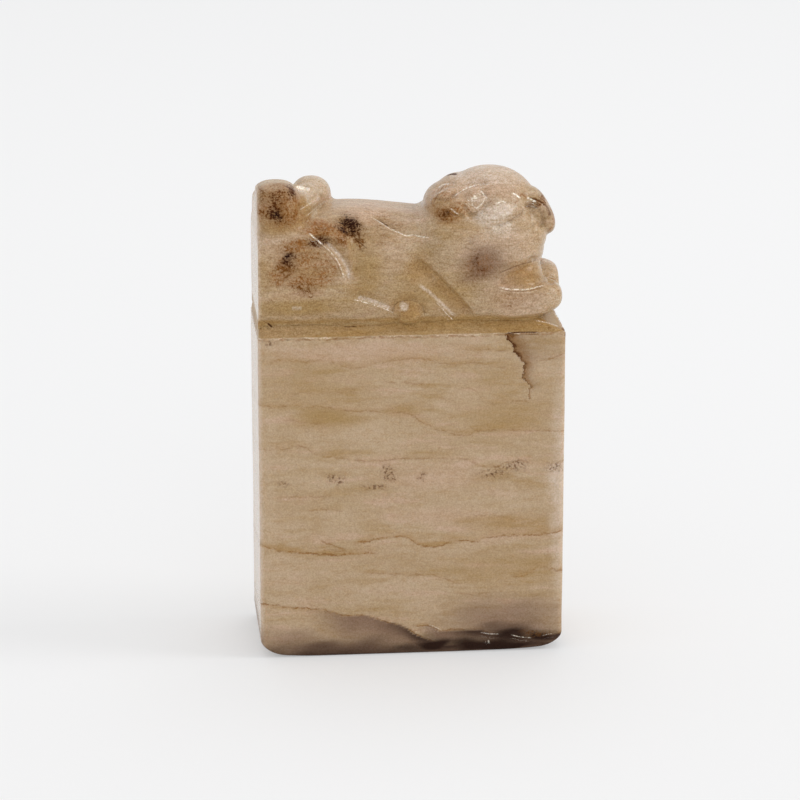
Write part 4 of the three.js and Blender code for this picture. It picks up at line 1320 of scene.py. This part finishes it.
class Jade:
    # the stone's colour, laid on cover by cover, and dull, which says where its polish is missing

    def __init__(self, tree):
        self.tree = tree
        self.wash, self.mottle, self.thread = washGroup(), mottleGroup(), threadGroup()
        place = addNode(tree, "ShaderNodeTexCoord").outputs["Object"]
        self.place = stretched(place, (1 / mm, 1 / mm, 1 / mm))
        self.x, _, self.z = addNode(tree, "ShaderNodeSeparateXYZ", {0: self.place}).outputs
        for name, values in noises.items():
            setattr(self, name, noise(self.place, *values))
        self.patchy = fedNode("ShaderNodeMapRange", {0: self.patchy, 1: 0.33, 2: 0.67}, clamp=True).outputs[0]

    def value(self, name):
        return addNode(self.tree, "ShaderNodeAttribute", attribute_name=name).outputs["Fac"]

    def cover(self, amount, name):
        self.colour = mixed(amount, self.colour, look(name))

    def dim(self, amount):
        self.dull = most(self.dull, amount)

    def layBase(self):
        self.colour = mixed(ranged(self.cloud, 0.38, 0.64), look("tan"), look("fair"))
        self.cover(ranged(self.sweep, 0.5, 0.66, 0.0, 0.55), "olive")
        self.cover(ranged(self.sweep, 0.48, 0.34, 0.0, 0.7), "blush")
        for name in washes[:paleWashes]:
            self.cover(passed(self.wash, self.value(name), self.sweep), name)
        # the rear end lightened towards milk: a painted reflection
        self.cover(ranged(self.x, 0.5 - sideX, 0.05 - sideX, 0.0, stone["rearReflection"]), "milk")

    def layVeins(self):
        # veins with the ochre beside them, and faint threads that run along the stone
        self.cover(times(self.value("veinOchre"), ranged(self.sweep, 0.3, 0.6, 0.15, 0.62)), "ochre")
        self.drift = times(centred(self.jag), stone["bend"])
        line = passed(self.thread, plus(self.value("veinAway"), self.drift), stone["veinWidth"], self.broken)
        self.cover(times(line, self.value("veinShow"), 0.9), "line")
        faint = passed(self.thread, centred(self.flow), 0.03, self.broken)
        self.cover(times(faint, stone["threads"]), "ochre")

    def layLedge(self):
        # ochre of thin stone in the cuts and on the ledge
        ledge = ranged(self.z, blockTop + 0.02, blockTop + 0.1)
        ledge = times(ledge, ranged(self.z, ledgeTop + 0.7, ledgeTop + 0.1))
        self.cover(times(self.value("hollow"), 0.7), "ochre")
        self.cover(times(ledge, ranged(self.cloud, 0.3, 0.6, 0.95, 0.7)), "olive")
        self.cover(times(ledge, ranged(self.sweep, 0.4, 0.6, 0.1, 0.5)), "ochre")
        self.dull = times(ledge, 0.7)

    def layStains(self):
        parts = [(name, self.wash, self.sweep) for name in washes[paleWashes:]]
        parts += [(name, self.mottle, self.patchy) for name in mottles]
        for name, group, unevenness in parts:
            amount = passed(group, self.value(name), unevenness)
            self.cover(amount, name)
            self.dim(amount)

    def layCrack(self):
        # a jagged black edge, brown to its right
        gap = plus(self.value("crack"), times(centred(self.jag), 0.55))
        gap = plus(gap, times(centred(self.teeth), 1.2))
        reach = ranged(self.z, crack["tip"], crack["top"], crack["reachTip"], crack["reachTop"])
        share = maths("DIVIDE", gap, reach)
        split = times(ranged(gap, -0.04, 0.03), ranged(share, 1.0, 0.0))
        self.cover(times(split, 0.72), "line")
        edge = times(ranged(gap, -0.05, 0.02), ranged(share, 0.24, 0.03))
        edge = times(edge, ranged(self.z, 25.0, 29.5, 0.6, 0.95), ranged(self.broken, 0.34, 0.5, 0.45, 1.0))
        self.cover(edge, "dark")
        self.dim(most(times(split, 0.85), edge))

    def laySpecks(self):
        # the darkest dots of a fine noise, inside the clusters and thinly everywhere
        clusters = self.value("specks")
        thinly = ranged(self.dots, 0.3, 0.25, 0.0, 0.6)
        self.speck = most(times(ranged(self.dots, 0.48, 0.38), clusters), thinly)
        self.cover(times(clusters, ranged(self.dots, 0.66, 0.42), 0.5), "line")
        self.cover(times(self.speck, stone["specks"]), "dark")

    def layRim(self):
        # the worn rim of the ledge: a pale thread, partly a painted highlight on its broken edge and partly
        # pale chips, with a dark one under it
        rim = plus(maths("SUBTRACT", self.z, blockTop + 0.02), times(self.drift, 0.7))
        under = passed(self.thread, plus(rim, 0.14), 0.13, self.broken)
        self.cover(times(under, stone["rimDark"]), "line")
        # painted highlight along the rim, broken like its chips
        chalkAndGlint = passed(self.thread, rim, 0.06, self.jag)
        self.cover(times(chalkAndGlint, ranged(self.patches, 0.45, 0.58), stone["rimChalkAndGlint"]), "chalkAndGlint")

    def layMarks(self):
        # dark lines, mostly painted shade in the creases, matt facets, and painted highlights on edges
        # painted shade along the creases and the beast's foot, with a few dark marks of the stone
        darkLine = times(ranged(maths("ABSOLUTE", self.value("darkLineAway")), 1.3, 0.4), self.value("darkLineShow"))
        self.darkLine = times(darkLine, ranged(self.broken, 0.35, 0.6, 0.55, 1.0))
        self.cover(self.darkLine, "dark")
        self.dim(self.darkLine)
        frost = self.value("frost")
        self.frost = ranged(plus(frost, times(centred(self.broken), frost)), 0.12, 0.62)
        self.cover(times(self.frost, ranged(self.patchy, 0.2, 0.8, 0.45, 0.95)), "milk")
        # painted highlights on polished edges and the eye, and the pale thread of a chip low on the block
        glintAndChip = times(ranged(maths("ABSOLUTE", self.value("glintAndChipAway")), 1.4, 0.3), self.value("glintAndChipShow"))
        self.cover(times(glintAndChip, ranged(self.patchy, 0.25, 0.75, 0.1, 1.0)), "glint")

    def layGrain(self):
        # grain, flecks and, in the carving, fibres; darker grain is warmer, so red changes less and blue more
        self.upper = ranged(self.z, blockTop + 0.02, blockTop + 0.3)
        strong = scaled(self.upper, 2 * stone["grain"] * (stone["carved"] - 1), 2 * stone["grain"])
        level = scaled(centred(self.grain), strong, 1.0)
        level = scaled(self.upper, -stone["deeper"], level)
        level = scaled(centred(self.flecks), 2 * stone["flecks"], level)
        level = plus(level, times(centred(self.fibre), self.upper, 2 * stone["fibre"]))
        tones = {0: scaled(level, 0.8, 0.2), 1: level, 2: scaled(level, 1.3, -0.3)}
        tone = fedNode("ShaderNodeCombineXYZ", tones).outputs[0]
        self.colour = mixed(1.0, self.colour, tone, "MULTIPLY")

    def finish(self, shader):
        height = maths("SUBTRACT", self.grain, times(plus(self.speck, self.darkLine), 1.5))
        relief = {"Height": height, "Strength": 1.0, "Distance": stone["relief"]}
        roughness = stone["roughness"]
        rough = ranged(self.grain, 0.3, 0.7, roughness - 0.04, roughness + 0.06)
        matt = most(self.frost, self.dull)
        # the carving's gloss doesn't grow at its rims, which are less evenly polished; low on the rear end
        # it does
        facing = addNode(self.tree, "ShaderNodeLayerWeight", {"Blend": 0.5}).outputs["Facing"]
        rims = most(ranged(self.x, 0.1 - sideX, 0.7 - sideX), ranged(self.z, stone["rearGloss"], 39.4))
        unpolished = most(matt, times(ranged(facing, 0.74, 0.95), self.upper, rims))
        linked = {
            "Base Color": self.colour,
            "Normal": fedNode("ShaderNodeBump", relief).outputs["Normal"],
            "Roughness": most(rough, times(matt, stone["frosted"])),
            "Coat Weight": scaled(unpolished, -stone["coat"], stone["coat"], clamp=True),
        }
        for name, socket in linked.items():
            self.tree.links.new(socket, shader.inputs[name])
        even = {
            "Coat Roughness": roughness + 0.06,
            "IOR": 1.5,
            "Specular IOR Level": stone["shine"],
            "Subsurface Weight": stone["translucency"],
            "Subsurface Radius": (1.0, 0.6, 0.35),
            "Subsurface Scale": stone["depth"],
        }
        for name, level in even.items():
            shader.inputs[name].default_value = level


def makeJade():
    material = bpy.data.materials.new("jade")
    material.use_nodes = True
    layers = Jade(material.node_tree)
    layers.layBase()
    layers.layVeins()
    layers.layLedge()
    layers.layStains()
    layers.layCrack()
    layers.laySpecks()
    layers.layRim()
    layers.layMarks()
    layers.layGrain()
    layers.finish(material.node_tree.nodes["Principled BSDF"])
    return material


jade = makeJade()
for piece in (blockPiece, beastPiece, linesPiece):
    markStone(piece)
    piece.data.materials.clear()
    piece.data.materials.append(jade)
print("stone is coloured")
